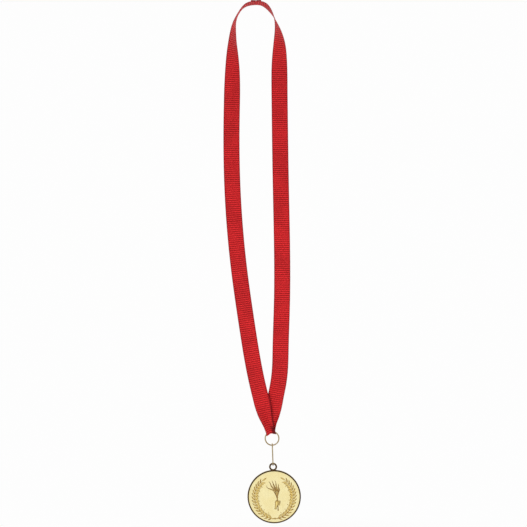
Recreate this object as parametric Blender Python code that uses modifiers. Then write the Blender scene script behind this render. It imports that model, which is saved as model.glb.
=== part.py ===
"""A prize medal on a neck ribbon, hanging at rest.

One struck disc with an eyelet hangs from an oval link, the link from a round ring, and the ring from the
fold of a woven neck ribbon. The ribbon's two ends are turned back and stitched together at the nape.

Metres, +Z up, the medal's face towards -Y. The origin is under the middle of the nape, where the ribbon
rests on whatever holds it up.
"""

import math

import bmesh
import bpy
import numpy as np
from mathutils import Matrix, Vector

# Ribbon
RIBBON_WIDTH = 0.015
RIBBON_THICKNESS = 0.0005
RIBBON_DROP = 0.4012  # from the nape to the middle of the ring's wire in the fold
GATHERED_WIDTH = 0.0096  # along the ring's wire, where the ribbon bunches up
GATHER_HEIGHT = 0.027  # above the fold, where the ribbon has its full width again
CURVED_HEIGHT = 0.014  # above the fold, where the ribbon stops following the ring's curve
FOLD_RADIUS = 0.0027  # inside the fold, which leaves the ring room to swing
FOLD_GAP = 0.0007  # between the ring's wire and the fold under it
FOLD_LEAN = math.radians(10)  # the fold sits this far round the ring from its top
LAYER_OFFSET = 0.00065  # each strand's distance from the middle where the two lie over each other
CLOSING_HEIGHT = 0.020  # above the fold, where its two sides have come together
OVERLAP_HEIGHT = 0.045  # above the fold, where the strands no longer cover each other
LEVEL_HEIGHT = 0.115  # above the fold, where both strands are back in the middle plane

# Nape seam
TAIL_LENGTH = 0.0042
TAIL_LIFT = math.radians(9)
SEAM_RADIUS = 0.00055  # of the ribbon's middle surface where an end turns back
SEAM_GAP = 0.0003
THREAD_DIAMETER = 0.0004
STITCH_PITCH = 0.0013
STITCH_ROW = 0.0030  # from the middle of the nape to each row
STITCH_MARGIN = 0.0008  # from the ribbon's edges to the ends of a row
ZIGZAG = 0.0012  # width of a row

# Ring in the ribbon's fold, and the link under it
RING_DIAMETER = 0.014
RING_WIRE = 0.0012
LINK_LENGTH = 0.0214
LINK_WIDTH = 0.0085
LINK_WIRE = 0.0011
WIRE_CUT = 0.0003  # between the two ends of a bent wire
RING_CUT_ANGLE = math.radians(-50)
CLEARANCE = 0.0003  # between pieces that touch

# Medal
DISC_DIAMETER = 0.050
DISC_THICKNESS = 0.0026
RIM_WIDTH = 0.0016
FACE_DEPTH = 0.0005
BACK_DEPTH = 0.0004
EDGE_ROUND = 0.0006
EYELET_BORE = 0.0044
EYELET_WALL = 0.0016
EYELET_THICKNESS = 0.0018
EYELET_SINK = 0.0009  # how far the eyelet reaches into the disc

# Relief on the face
RELIEF_HEIGHT = 0.0005
RELIEF_SINK = 0.00013  # how far the middle of a leaf or of a torch piece lies under the field
LEAF_LENGTH = 0.0036
LEAF_WIDTH = 0.0014
LEAF_GAP = 0.00025  # between neighbouring leaves, and between the two leaves of a pair
LEAF_SPREAD = math.radians(32)
WREATH_GAP = 0.0022  # between the outer leaves and the rim
BRANCH_START = math.radians(4)
BRANCH_END = math.radians(158)
TORCH_GAP = 0.0012  # between the torch and the wreath

# The strands' ways down, as (sideways, share of the height between the shoulder of the loop and the gather)
SHOULDER_DEPTH = 0.027
LEFT_CROWN = ((0, 0), (-0.0055, -0.0004), (-0.0107, -0.0023), (-0.0156, -0.0073), (-0.0197, -0.0150))
RIGHT_CROWN = ((0, 0), (0.0045, -0.0006), (0.0086, -0.0026), (0.0126, -0.0069), (0.0162, -0.0135))
LEFT_STRAND = (
    (-0.0224, 0.0), (-0.0240, 0.08), (-0.0266, 0.23), (-0.0284, 0.39),
    (-0.0276, 0.55), (-0.0246, 0.69), (-0.0194, 0.84), (-0.0120, 1.0),
)
RIGHT_STRAND = (
    (0.0198, 0.0), (0.0200, 0.08), (0.0184, 0.23), (0.0170, 0.42),
    (0.0160, 0.60), (0.0138, 0.78), (0.0112, 0.90), (0.0081, 1.0),
)
LEFT_GATHER = ((-0.0076, 0.023), (-0.0051, 0.0115), (-0.0029, 0.0048))
RIGHT_GATHER = ((0.0036, 0.025), (0.0012, 0.0115), (-0.0004, 0.0048))
STRAND_END = 0.045  # above the fold, where the gather begins

# Turn of the ribbon about its own line, as (distance from the nape, degrees). 0 is edge on, 90 is flat.
LEFT_TURN = (
    (0, 0), (0.014, -5), (0.024, -1), (0.032, 10), (0.047, 28), (0.062, 48), (0.084, 72), (0.103, 90),
)
RIGHT_TURN = ((0, 0), (0.009, -7), (0.018, 0), (0.026, 9), (0.045, 42), (0.063, 69), (0.082, 90))

# Fineness
ACROSS = 4
ARCH_STEP = 0.0024
STRAND_STEP = 0.0085
GATHER_STEP = 0.003
TURNED_STEPS = 72
WIRE_STEPS = 40

# Worked out from the sizes above
RING_RADIUS = (RING_DIAMETER - RING_WIRE) / 2
RING_CENTRE = Vector((0, 0, -RIBBON_DROP - RING_RADIUS * math.cos(FOLD_LEAN)))
RING_BOTTOM = RING_CENTRE - Vector((0, 0, RING_RADIUS))
LINK_TOP = RING_BOTTOM.z + RING_WIRE / 2 + CLEARANCE + LINK_WIRE
LINK_CENTRE = Vector((0, 0, LINK_TOP - LINK_LENGTH / 2))
LINK_BOTTOM = Vector((0, 0, LINK_TOP - LINK_LENGTH + LINK_WIRE / 2))
EYELET_RADIUS = EYELET_BORE / 2 + EYELET_WALL
EYELET_CENTRE = LINK_BOTTOM - Vector((0, 0, EYELET_BORE / 2 - LINK_WIRE / 2 - CLEARANCE))
DISC_CENTRE = EYELET_CENTRE - Vector((0, 0, DISC_DIAMETER / 2 + EYELET_RADIUS - EYELET_SINK))
FIELD_RADIUS = DISC_DIAMETER / 2 - RIM_WIDTH
FACE_LEVEL = DISC_THICKNESS / 2 - FACE_DEPTH
WREATH_RADIUS = FIELD_RADIUS - WREATH_GAP - LEAF_LENGTH * math.sin(LEAF_SPREAD)
TORCH_SIZE = WREATH_RADIUS - LEAF_LENGTH * math.sin(LEAF_SPREAD) - TORCH_GAP


# ---------------------------------------------------------------- scene and small tools


def clear_scene():
    """Leaves an empty scene."""
    for obj in list(bpy.data.objects):
        bpy.data.objects.remove(obj, do_unlink=True)


def new_collection(name, shown=True):
    """A collection in the scene; cutters and guides go in one that isn't rendered."""
    collection = bpy.data.collections.new(name)
    bpy.context.scene.collection.children.link(collection)
    collection.hide_render = not shown
    return collection


def new_material(name, colour, roughness, metallic):
    """A plain Principled material."""
    material = bpy.data.materials.new(name)
    material.use_nodes = True
    shader = material.node_tree.nodes["Principled BSDF"]
    shader.inputs["Base Color"].default_value = (*colour, 1)
    shader.inputs["Roughness"].default_value = roughness
    shader.inputs["Metallic"].default_value = metallic
    return material


def add_object(name, data, collection, material=None, place=(0, 0, 0)):
    """An object with its origin at place."""
    obj = bpy.data.objects.new(name, data)
    obj.location = place
    if material:
        data.materials.append(material)
    collection.objects.link(obj)
    return obj


def mesh_from(build):
    """A mesh from a function that fills a bmesh, with its faces pointing out."""
    bm = bmesh.new()
    build(bm)
    bmesh.ops.recalc_face_normals(bm, faces=bm.faces)
    mesh = bpy.data.meshes.new("mesh")
    bm.to_mesh(mesh)
    bm.free()
    return mesh


def baked(obj, weld=0.0):
    """The object's evaluated mesh in world space. The object is removed."""
    bpy.context.view_layer.update()
    graph = bpy.context.evaluated_depsgraph_get()
    mesh = bpy.data.meshes.new_from_object(obj.evaluated_get(graph))
    mesh.transform(obj.matrix_world)
    if weld:
        bm = bmesh.new()
        bm.from_mesh(mesh)
        bmesh.ops.remove_doubles(bm, verts=bm.verts, dist=weld)
        bmesh.ops.recalc_face_normals(bm, faces=bm.faces)
        bm.to_mesh(mesh)
        bm.free()
    bpy.data.objects.remove(obj, do_unlink=True)
    return mesh


def united(meshes, collection):
    """One closed mesh made of overlapping closed ones."""
    body = add_object("union", meshes[0], collection)
    for mesh in meshes[1:]:
        tool = add_object("tool", mesh, collection)
        union = body.modifiers.new("union", "BOOLEAN")
        union.operation = "UNION"
        union.object = tool
        whole = baked(body)
        bpy.data.objects.remove(tool, do_unlink=True)
        body = add_object("union", whole, collection)
    whole = body.data
    bpy.data.objects.remove(body, do_unlink=True)
    return whole


def spline(points, at):
    """A natural cubic curve through rows of (parameter, value, ...), read at the parameters in at."""
    rows = np.array(points, float)
    knots, values = rows[:, 0], rows[:, 1:]
    gaps = np.diff(knots)
    slopes = np.diff(values, axis=0) / gaps[:, None]
    system, target = np.eye(len(knots)), np.zeros_like(values)
    for i in range(1, len(knots) - 1):
        system[i, i - 1 : i + 2] = gaps[i - 1], 2 * (gaps[i - 1] + gaps[i]), gaps[i]
        target[i] = 6 * (slopes[i] - slopes[i - 1])
    bends = np.linalg.solve(system, target)
    cell = np.clip(np.searchsorted(knots, at, side="right") - 1, 0, len(gaps) - 1)
    gap = gaps[cell][:, None]
    after, before = (at - knots[cell])[:, None], (knots[cell + 1] - at)[:, None]
    return (
        bends[cell] * before**3 / (6 * gap)
        + bends[cell + 1] * after**3 / (6 * gap)
        + (values[cell] / gap - bends[cell] * gap / 6) * before
        + (values[cell + 1] / gap - bends[cell + 1] * gap / 6) * after
    )


def ease(share):
    """0 to 1 with level ends."""
    share = min(1.0, max(0.0, share))
    return share * share * (3 - 2 * share)


# ---------------------------------------------------------------- ribbon


def ring_point(turn):
    """The middle of the ring's wire, at an angle round the ring from the middle of the fold."""
    angle = math.pi / 2 + FOLD_LEAN - turn
    return RING_CENTRE + RING_RADIUS * Vector((math.cos(angle), 0, math.sin(angle)))


def ring_outward(turn):
    """The direction away from the ring's centre at that angle."""
    return (ring_point(turn) - RING_CENTRE).normalized()


FOLD_LIFT = FOLD_RADIUS - RING_WIRE / 2 - FOLD_GAP  # the fold's centre above the wire's middle
FOLD_TOP = ring_point(0) + ring_outward(0) * FOLD_LIFT
HALF_TURN = GATHERED_WIDTH / 2 / RING_RADIUS


def strand_route(crown, strand, gather):
    """The strand's middle line from the nape to the fold, as rows of (distance, x, z)."""
    ribbon_middle = RIBBON_THICKNESS / 2
    top, bottom = -SHOULDER_DEPTH, FOLD_TOP.z + STRAND_END
    points = [(x, z + ribbon_middle) for x, z in crown]
    points += [(x, top + share * (bottom - top)) for x, share in strand]
    points += [(x, FOLD_TOP.z + height) for x, height in gather]
    points.append((FOLD_TOP.x, FOLD_TOP.z))
    steps = np.linalg.norm(np.diff(np.array(points), axis=0), axis=1)
    along = np.concatenate([[0], np.cumsum(steps)])
    return [(a, *p) for a, p in zip(along, points, strict=True)]


def strand_distances(length):
    """Distances from the nape at which the strand gets a row of points: close where it bends."""
    arch_end, gather_start = 0.105, length - GATHER_HEIGHT
    seam = SEAM_RADIUS + SEAM_GAP / 2 + RIBBON_THICKNESS / 2
    parts = [
        (seam, arch_end, ARCH_STEP),
        (arch_end, gather_start, STRAND_STEP),
        (gather_start, length, GATHER_STEP),
    ]
    found = [seam]
    for start, end, step in parts:
        count = max(1, round((end - start) / step))
        found += [start + (end - start) * (i + 1) / count for i in range(count)]
    return np.array(found)


def layer_distance(height):
    """How far a strand lies from the middle plane, at a height above the fold."""
    closing = FOLD_RADIUS + RIBBON_THICKNESS / 2 - LAYER_OFFSET
    apart = 1 - ease((height - OVERLAP_HEIGHT) / (LEVEL_HEIGHT - OVERLAP_HEIGHT))
    return LAYER_OFFSET * apart + closing * (1 - ease(height / CLOSING_HEIGHT))


def section(middle, across, width, follow):
    """Points across the ribbon. follow is 1 where they lie along the ring, and 0 where they are straight."""
    found = []
    for i in range(ACROSS + 1):
        share = 2 * i / ACROSS - 1
        straight = across * (share * width / 2)
        curved = ring_point(share * HALF_TURN) - ring_point(0)
        found.append(middle + straight.lerp(curved, follow))
    return found


def strand_rows(crown, strand, gather, turns, layer_side):
    """Sections of one half of the ribbon, from the nape to the fold."""
    route = strand_route(crown, strand, gather)
    length = route[-1][0]
    distances = strand_distances(length)
    middles = spline(route, distances)
    turned = spline(turns, np.minimum(distances, turns[-1][0]))[:, 0]
    rows = []
    for (x, z), angle in zip(middles, turned, strict=True):
        height = z - FOLD_TOP.z
        middle = Vector((x, layer_side * layer_distance(height), z))
        angle = math.radians(min(angle, 90))
        across = Vector((math.sin(angle), math.cos(angle), 0))
        width = GATHERED_WIDTH + (RIBBON_WIDTH - GATHERED_WIDTH) * ease(height / GATHER_HEIGHT)
        rows.append((middle, across, width, 1 - ease(height / CURVED_HEIGHT)))
    ahead = [b[0] - a[0] for a, b in zip(rows[:-1], rows[1:], strict=True)]
    ahead.append(-ring_outward(0))
    found = []
    for (middle, across, width, follow), step in zip(rows, ahead, strict=True):
        step.normalize()
        across = (across - step * across.dot(step)).normalized()
        found.append(section(middle, across, width, follow))
    return found


def tail_rows(side):
    """Sections of one turned-back end at the nape, from its tip to where the loop begins. side is -1 or 1."""
    inner = SEAM_GAP / 2 + RIBBON_THICKNESS / 2 + SEAM_RADIUS
    level = RIBBON_THICKNESS / 2 + SEAM_RADIUS
    line = []
    for share in (1, 0.5):
        reach = TAIL_LENGTH * share
        rise = reach * math.sin(TAIL_LIFT)
        line.append((inner + reach * math.cos(TAIL_LIFT), level + SEAM_RADIUS + rise))
    bend_steps = 6
    for i in range(bend_steps):
        angle = math.pi / 2 + math.pi * i / bend_steps
        line.append((inner + SEAM_RADIUS * math.cos(angle), level + SEAM_RADIUS * math.sin(angle)))
    across = Vector((0, 1, 0))
    return [section(Vector((side * x, 0, z)), across, RIBBON_WIDTH, 0) for x, z in line]


def fold_rows():
    """Sections round the inside of the ring's wire, between the front strand and the back one."""
    steps = 10
    radius = FOLD_RADIUS + RIBBON_THICKNESS / 2
    rows = []
    for i in range(1, steps):
        angle = math.pi * i / steps
        row = []
        for j in range(ACROSS + 1):
            turn = (2 * j / ACROSS - 1) * HALF_TURN
            lift = FOLD_LIFT - radius * math.sin(angle)
            depth = -radius * math.cos(angle)
            # At the strands' ends the section is moved whole, so here it takes the same shape.
            shape = ring_point(turn) - ring_point(0)
            row.append(ring_point(0) + shape + ring_outward(0) * lift + Vector((0, depth, 0)))
        rows.append(row)
    return rows


def make_ribbon(collection, material):
    """The whole ribbon: its middle surface, thickened."""
    left = tail_rows(-1) + strand_rows(LEFT_CROWN, LEFT_STRAND, LEFT_GATHER, LEFT_TURN, -1)
    right = tail_rows(1) + strand_rows(RIGHT_CROWN, RIGHT_STRAND, RIGHT_GATHER, RIGHT_TURN, 1)
    rows = left + fold_rows() + right[::-1]

    def build(bm):
        grid = [[bm.verts.new(point) for point in row] for row in rows]
        for a, b in zip(grid[:-1], grid[1:], strict=True):
            for i in range(ACROSS):
                bm.faces.new((a[i], b[i], b[i + 1], a[i + 1]))

    ribbon = add_object("ribbon", mesh_from(build), collection, material)
    solid = ribbon.modifiers.new("thickness", "SOLIDIFY")
    solid.thickness = RIBBON_THICKNESS
    solid.offset = 0
    solid.use_even_offset = True
    return ribbon


# ---------------------------------------------------------------- ring and link


def bent_wire(name, points, diameter, collection, material):
    """A wire along a line of points, with its two ends open."""
    curve = bpy.data.curves.new(name, "CURVE")
    curve.dimensions = "3D"
    curve.bevel_depth = diameter / 2
    curve.bevel_resolution = 2
    curve.use_fill_caps = True
    line = curve.splines.new("POLY")
    line.points.add(len(points) - 1)
    for target, point in zip(line.points, points, strict=True):
        target.co = (*point, 1)
    return add_object(name, curve, collection, material)


def make_ring(collection, material):
    """The round ring. Its origin is on the wire, in the middle of the fold, where it swings."""
    pivot = ring_point(0)
    cut = WIRE_CUT / RING_RADIUS
    points = []
    for i in range(WIRE_STEPS + 1):
        angle = RING_CUT_ANGLE + cut / 2 + (2 * math.pi - cut) * i / WIRE_STEPS
        points.append(RING_CENTRE - pivot + RING_RADIUS * Vector((math.cos(angle), 0, math.sin(angle))))
    ring = bent_wire("ribbon_ring", points, RING_WIRE, collection, material)
    ring.location = pivot
    return ring


def make_link(collection, material):
    """The oval link, seen edge on from the front. Its origin is on the ring's wire, where it swings."""
    end_radius = (LINK_WIDTH - LINK_WIRE) / 2
    half_side = (LINK_LENGTH - LINK_WIRE) / 2 - end_radius
    centre = LINK_CENTRE - RING_BOTTOM
    bend_steps = WIRE_STEPS // 2
    points = [(end_radius, WIRE_CUT / 2), (end_radius, half_side)]
    for end in (1, -1):
        for i in range(1, bend_steps):
            angle = math.pi * i / bend_steps
            x, y = end_radius * math.cos(angle), half_side + end_radius * math.sin(angle)
            points.append((end * x, end * y))
        points.append((-end * end_radius, end * half_side))
        if end == 1:
            points.append((-end_radius, -half_side))
    points.append((end_radius, -WIRE_CUT / 2))
    line = [centre + Vector((0, y, z)) for y, z in points]
    link = bent_wire("medal_link", line, LINK_WIRE, collection, material)
    link.location = RING_BOTTOM
    return link


def make_seam_threads(collection, material):
    """A zigzag seam on top of each turned-back end, which holds it to the one beside it."""
    tail_start = SEAM_GAP / 2 + RIBBON_THICKNESS / 2 + SEAM_RADIUS
    tail_middle = RIBBON_THICKNESS / 2 + 2 * SEAM_RADIUS
    away = (RIBBON_THICKNESS / 2 + CLEARANCE + THREAD_DIAMETER / 2) / math.cos(TAIL_LIFT)
    turns = int((RIBBON_WIDTH - 2 * STITCH_MARGIN) / STITCH_PITCH)
    for name, side in (("left", -1), ("right", 1)):
        points = []
        for i in range(turns + 1):
            y = (i - turns / 2) * STITCH_PITCH
            x = STITCH_ROW + ZIGZAG * (i % 2 - 0.5)
            z = tail_middle + (x - tail_start) * math.tan(TAIL_LIFT) + away
            points.append(Vector((side * x, y, z)))
        bent_wire(f"seam_thread_{name}", points, THREAD_DIAMETER, collection, material)


# ---------------------------------------------------------------- medal, built flat with its face up


def turned_mesh(profile, collection, steps=TURNED_STEPS):
    """A turned solid about Z from (radius, height) points that run down its outer side."""
    mesh = bpy.data.meshes.new("profile")
    edges = [(i, i + 1) for i in range(len(profile) - 1)]
    mesh.from_pydata([(r, 0, z) for r, z in profile], edges, [])
    obj = add_object("profile", mesh, collection)
    screw = obj.modifiers.new("turn", "SCREW")
    screw.steps = steps
    screw.render_steps = steps
    screw.use_merge_vertices = True
    screw.merge_threshold = 0.00001
    screw.use_normal_calculate = True
    return baked(obj, weld=0.00001)


def rounded_band(inner, outer, half, radius, hollow_front=0.0, hollow_back=0.0):
    """(radius, height) points round a flat band, with rounded outer corners and a step down to each field."""
    points = [(inner, half - hollow_front)]
    if hollow_front:
        points.append((inner, half - hollow_front / 2))
    corner_steps = 2
    arcs = (
        (inner + radius, half - radius, math.pi, math.pi / 2),
        (outer - radius, half - radius, math.pi / 2, 0),
        (outer - radius, radius - half, 0, -math.pi / 2),
        (inner + radius, radius - half, -math.pi / 2, -math.pi),
    )
    for x, z, start, end in arcs:
        for i in range(corner_steps + 1):
            angle = start + (end - start) * i / corner_steps
            points.append((x + radius * math.cos(angle), z + radius * math.sin(angle)))
    if hollow_back:
        points.append((inner, hollow_back / 2 - half))
    points.append((inner, hollow_back - half))
    return points


def blank_mesh(collection):
    """The disc with its raised rim and its two fields."""
    half = DISC_THICKNESS / 2
    rim = rounded_band(
        FIELD_RADIUS, DISC_DIAMETER / 2, half, min(EDGE_ROUND, FACE_DEPTH / 2, BACK_DEPTH / 2),
        hollow_front=FACE_DEPTH, hollow_back=BACK_DEPTH,
    )
    return turned_mesh([(0, half - FACE_DEPTH), *rim, (0, BACK_DEPTH - half)], collection)


def eyelet_mesh(collection):
    """The eyelet at the top of the disc."""
    inner, outer, half = EYELET_BORE / 2, EYELET_RADIUS, EYELET_THICKNESS / 2
    profile = rounded_band(inner, outer, half, min(EDGE_ROUND, EYELET_WALL / 3))
    mesh = turned_mesh(profile[1:-1] + [profile[1]], collection, steps=32)
    mesh.transform(Matrix.Translation((0, (EYELET_CENTRE - DISC_CENTRE).z, 0)))
    return mesh


def ellipsoid(bm, place, turn, sizes, segments=6, rings=4):
    """A stretched ball lying in the disc's plane, its long axis at the angle turn."""
    matrix = Matrix.Translation(place) @ Matrix.Rotation(turn, 4, "Z") @ Matrix.Diagonal((*sizes, 1))
    matrix = matrix @ Matrix.Rotation(math.pi / 2, 4, "Y")
    bmesh.ops.create_uvsphere(bm, u_segments=segments, v_segments=rings, radius=0.5, matrix=matrix)


def leaf_mesh():
    """The wreath's leaves, none touching another: pairs along both branches, and one at each tip."""
    inner_radius = WREATH_RADIUS - LEAF_LENGTH * math.sin(LEAF_SPREAD)
    pitch = (LEAF_WIDTH + LEAF_GAP) / math.sin(LEAF_SPREAD) / inner_radius
    pairs = int((BRANCH_END - BRANCH_START) / pitch)
    sizes = (LEAF_LENGTH, LEAF_WIDTH, 2 * (RELIEF_HEIGHT + RELIEF_SINK))

    def build(bm):
        for side in (-1, 1):
            for i in range(pairs + 1):
                along = side * (BRANCH_START + (BRANCH_END - BRANCH_START) * i / pairs) - math.pi / 2
                outward = Vector((math.cos(along), math.sin(along), 0))
                ahead = along + side * math.pi / 2
                for lean in (0,) if i == pairs else (-1, 1):
                    turn = ahead - side * lean * LEAF_SPREAD
                    root = outward * (WREATH_RADIUS + lean * LEAF_GAP)
                    middle = root + Vector((math.cos(turn), math.sin(turn), 0)) * (LEAF_LENGTH / 2 + LEAF_GAP)
                    middle.z = FACE_LEVEL - RELIEF_SINK
                    ellipsoid(bm, middle, turn, sizes)

    return mesh_from(build)


def torch_meshes():
    """A handle, a cup and its flames, in plain shapes."""
    size = TORCH_SIZE
    thick = 2 * (RELIEF_HEIGHT + RELIEF_SINK)
    shapes = (
        # place, turn, length, width, thickness
        ((0.10, -0.52), math.radians(92), 0.95, 0.11, 1.0),
        ((0.08, 0.02), math.radians(94), 0.52, 0.34, 1.5),
        ((0.02, 0.22), math.radians(4), 0.62, 0.14, 1.3),
        ((-0.12, 0.52), math.radians(118), 0.66, 0.26, 1.2),
        ((0.10, 0.60), math.radians(106), 0.78, 0.22, 1.1),
        ((-0.34, 0.36), math.radians(150), 0.52, 0.18, 1.0),
    )
    meshes = []
    for (x, y), turn, long, wide, high in shapes:
        place = Vector((x * size, y * size, FACE_LEVEL - RELIEF_SINK))
        sizes = (long * size, wide * size, high * thick)
        meshes.append(mesh_from(lambda bm, p=place, t=turn, s=sizes: ellipsoid(bm, p, t, s, 8, 6)))
    return meshes


def make_medal(collection, scratch, material):
    """The struck disc with eyelet and relief. Its origin is in the eyelet, where it swings on the link."""
    struck = [blank_mesh(scratch), eyelet_mesh(scratch), *torch_meshes(), leaf_mesh()]
    whole = united(struck, scratch)
    upright = Matrix.Rotation(math.pi / 2, 4, "X")
    whole.transform(Matrix.Translation(DISC_CENTRE - LINK_BOTTOM) @ upright)
    return add_object("medal", whole, collection, material, LINK_BOTTOM)


def main():
    """Builds the whole object."""
    clear_scene()
    collection = new_collection("medal_on_ribbon")
    scratch = new_collection("cutters", shown=False)
    red = new_material("red_ribbon", (0.47, 0.022, 0.028), 0.75, 0.0)
    thread = new_material("red_thread", (0.40, 0.02, 0.025), 0.6, 0.0)
    wire = new_material("gilt_wire", (0.80, 0.68, 0.42), 0.25, 1.0)
    gold = new_material("gilt_medal", (0.93, 0.74, 0.36), 0.25, 1.0)
    make_ribbon(collection, red)
    make_seam_threads(collection, thread)
    make_ring(collection, wire)
    make_link(collection, wire)
    make_medal(collection, scratch, gold)


main()
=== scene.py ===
"""Looks of a prize medal on its neck ribbon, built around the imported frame.

Metres, +Z up, the medal's face towards -Y. Relief is modelled face up, and then stood upright.
"""

import logging
import math
from collections.abc import Callable, Iterator, Sequence
from contextlib import contextmanager
from dataclasses import dataclass, replace
from enum import Enum
from typing import Any, NamedTuple

import bmesh
import bpy
import numpy as np
from mathutils import Matrix, Quaternion, Vector

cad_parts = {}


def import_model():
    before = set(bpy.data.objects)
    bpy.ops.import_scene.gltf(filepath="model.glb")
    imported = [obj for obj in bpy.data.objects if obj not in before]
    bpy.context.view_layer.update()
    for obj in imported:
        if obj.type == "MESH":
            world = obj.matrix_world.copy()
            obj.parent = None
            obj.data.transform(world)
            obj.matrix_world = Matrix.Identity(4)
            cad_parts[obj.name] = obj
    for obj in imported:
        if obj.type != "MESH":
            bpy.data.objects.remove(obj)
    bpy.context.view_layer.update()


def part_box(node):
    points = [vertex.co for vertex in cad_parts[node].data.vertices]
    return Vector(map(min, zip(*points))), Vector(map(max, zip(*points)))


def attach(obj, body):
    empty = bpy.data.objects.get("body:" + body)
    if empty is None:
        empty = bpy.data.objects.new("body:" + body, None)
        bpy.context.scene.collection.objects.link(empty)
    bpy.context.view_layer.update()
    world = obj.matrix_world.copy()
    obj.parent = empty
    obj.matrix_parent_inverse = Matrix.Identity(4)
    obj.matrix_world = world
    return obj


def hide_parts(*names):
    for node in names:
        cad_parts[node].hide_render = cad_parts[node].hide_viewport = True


log = logging.getLogger("medal")
MM = 0.001
Row = tuple[float, ...]
Object = bpy.types.Object
Material = bpy.types.Material
Tree = bpy.types.NodeTree
Node = bpy.types.Node
Socket = bpy.types.NodeSocket


# ---------------------------------------------------------------- hand tools


def deselect() -> None:
    """Goes back to object mode and deselects everything."""
    if bpy.context.object and bpy.context.object.mode != "OBJECT":
        bpy.ops.object.mode_set(mode="OBJECT")
    bpy.ops.object.select_all(action="DESELECT")


def take(*objects: Object) -> None:
    """Selects only these objects.

    Args:
        objects: the last one becomes active.
    """
    deselect()
    for obj in objects:
        obj.select_set(True)
    bpy.context.view_layer.objects.active = objects[-1]


@contextmanager
def editing(obj: Object, kind: str = "VERT") -> Iterator[None]:
    """Opens an object in edit mode with nothing selected.

    Args:
        obj: the mesh object.
        kind: VERT, EDGE or FACE.

    Yields:
        Nothing, while the object is open.
    """
    take(obj)
    bpy.ops.object.mode_set(mode="EDIT")
    bpy.ops.mesh.select_mode(type=kind)
    bpy.ops.mesh.select_all(action="DESELECT")
    yield
    bpy.ops.object.mode_set(mode="OBJECT")


def pick(test: Callable[[Any], bool], kind: str = "VERT") -> None:
    """In edit mode, selects just what passes a test.

    Args:
        test: takes a BMVert, BMEdge or BMFace.
        kind: VERT, EDGE or FACE.
    """
    bpy.ops.mesh.select_mode(type=kind)
    bpy.ops.mesh.select_all(action="DESELECT")
    mesh = bpy.context.edit_object.data
    bm = bmesh.from_edit_mesh(mesh)
    for item in {"VERT": bm.verts, "EDGE": bm.edges, "FACE": bm.faces}[kind]:
        if test(item):
            item.select_set(True)
    bm.select_flush_mode()
    bmesh.update_edit_mesh(mesh)


def pick_all() -> None:
    """In edit mode, selects everything."""
    bpy.ops.mesh.select_all(action="SELECT")


def turn_selection(angle: float, axis: str, centre: Sequence[float]) -> None:
    """Turns the selection anticlockwise about an axis. Without a window the operator turns the other way."""
    bpy.ops.transform.rotate(value=-angle, orient_axis=axis, center_override=tuple(centre))


def resize_selection(value: Sequence[float], centre: Sequence[float]) -> None:
    """Scales the selection about a place."""
    bpy.ops.transform.resize(value=value, center_override=centre)


def extrude(way: Sequence[float]) -> None:
    """Extrudes the selection one step."""
    bpy.ops.mesh.extrude_region_move(TRANSFORM_OT_translate={"value": way})


def named(name: str) -> Object:
    """Names the active object and its mesh, and applies its placing.

    Args:
        name: the new name.

    Returns:
        The active object.
    """
    obj = bpy.context.object
    obj.name = obj.data.name = name
    bpy.ops.object.transform_apply(location=True, rotation=True, scale=True)
    return obj


def linked(name: str, data: Any) -> Object:
    """Puts a new object into the scene.

    Args:
        name: its name.
        data: its mesh, light or camera.

    Returns:
        The object.
    """
    obj = bpy.data.objects.new(name, data)
    bpy.context.scene.collection.objects.link(obj)
    return obj


def put_at(obj: Object, place: Sequence[float], turn: Row = (0, 0, 0), size: Row = (1, 1, 1)) -> None:
    """Places, turns and scales an object at the origin, and applies it to its mesh.

    Args:
        obj: a mesh object.
        place: where its origin goes.
        turn: angles about each axis.
        size: scale along each axis.
    """
    take(obj)
    obj.location, obj.rotation_euler, obj.scale = place, turn, size
    bpy.ops.object.transform_apply(location=True, rotation=True, scale=True)


def copy_of(obj: Object, place: Sequence[float], turn: float = 0.0, size: Row = (1, 1, 1)) -> Object:
    """Copies an object with its own mesh, and puts the copy in its place.

    Args:
        obj: a finished object at the origin.
        place: where the copy's origin goes.
        turn: angle about Z.
        size: scale along each axis.

    Returns:
        The copy.
    """
    take(obj)
    bpy.ops.object.duplicate()
    copy = bpy.context.object
    put_at(copy, place, (0, 0, turn), size)
    return copy


def apply_modifier(obj: Object, kind: str, **settings: Any) -> None:
    """Adds one modifier and applies it at once.

    Args:
        obj: a mesh object.
        kind: the modifier's type.
        settings: properties set on it.
    """
    take(obj)
    modifier = obj.modifiers.new(kind.lower(), kind)
    for key, value in settings.items():
        setattr(modifier, key, value)
    bpy.ops.object.modifier_apply(modifier=modifier.name)


def joined(name: str, objects: Sequence[Object]) -> Object:
    """Joins objects into one.

    Args:
        name: of the result.
        objects: mesh objects.

    Returns:
        The joined object.
    """
    take(*objects)
    bpy.ops.object.join()
    return named(name)


def outward(obj: Object, merge: float = 1e-6) -> None:
    """Merges doubles, and turns every face outwards.

    Args:
        obj: a mesh object.
        merge: how close two points are the same.
    """
    with editing(obj):
        pick_all()
        bpy.ops.mesh.remove_doubles(threshold=merge)
        bpy.ops.mesh.normals_make_consistent(inside=False)


def smooth(obj: Object, degrees: float) -> None:
    """Shades an object smooth, apart from edges sharper than an angle."""
    take(obj)
    bpy.ops.object.shade_smooth_by_angle(angle=math.radians(degrees))


class Station(NamedTuple):
    """One ring of a grown shape, in millimetres: its place, its half width and its half height."""

    x: float
    y: float
    wide: float
    high: float


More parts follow.
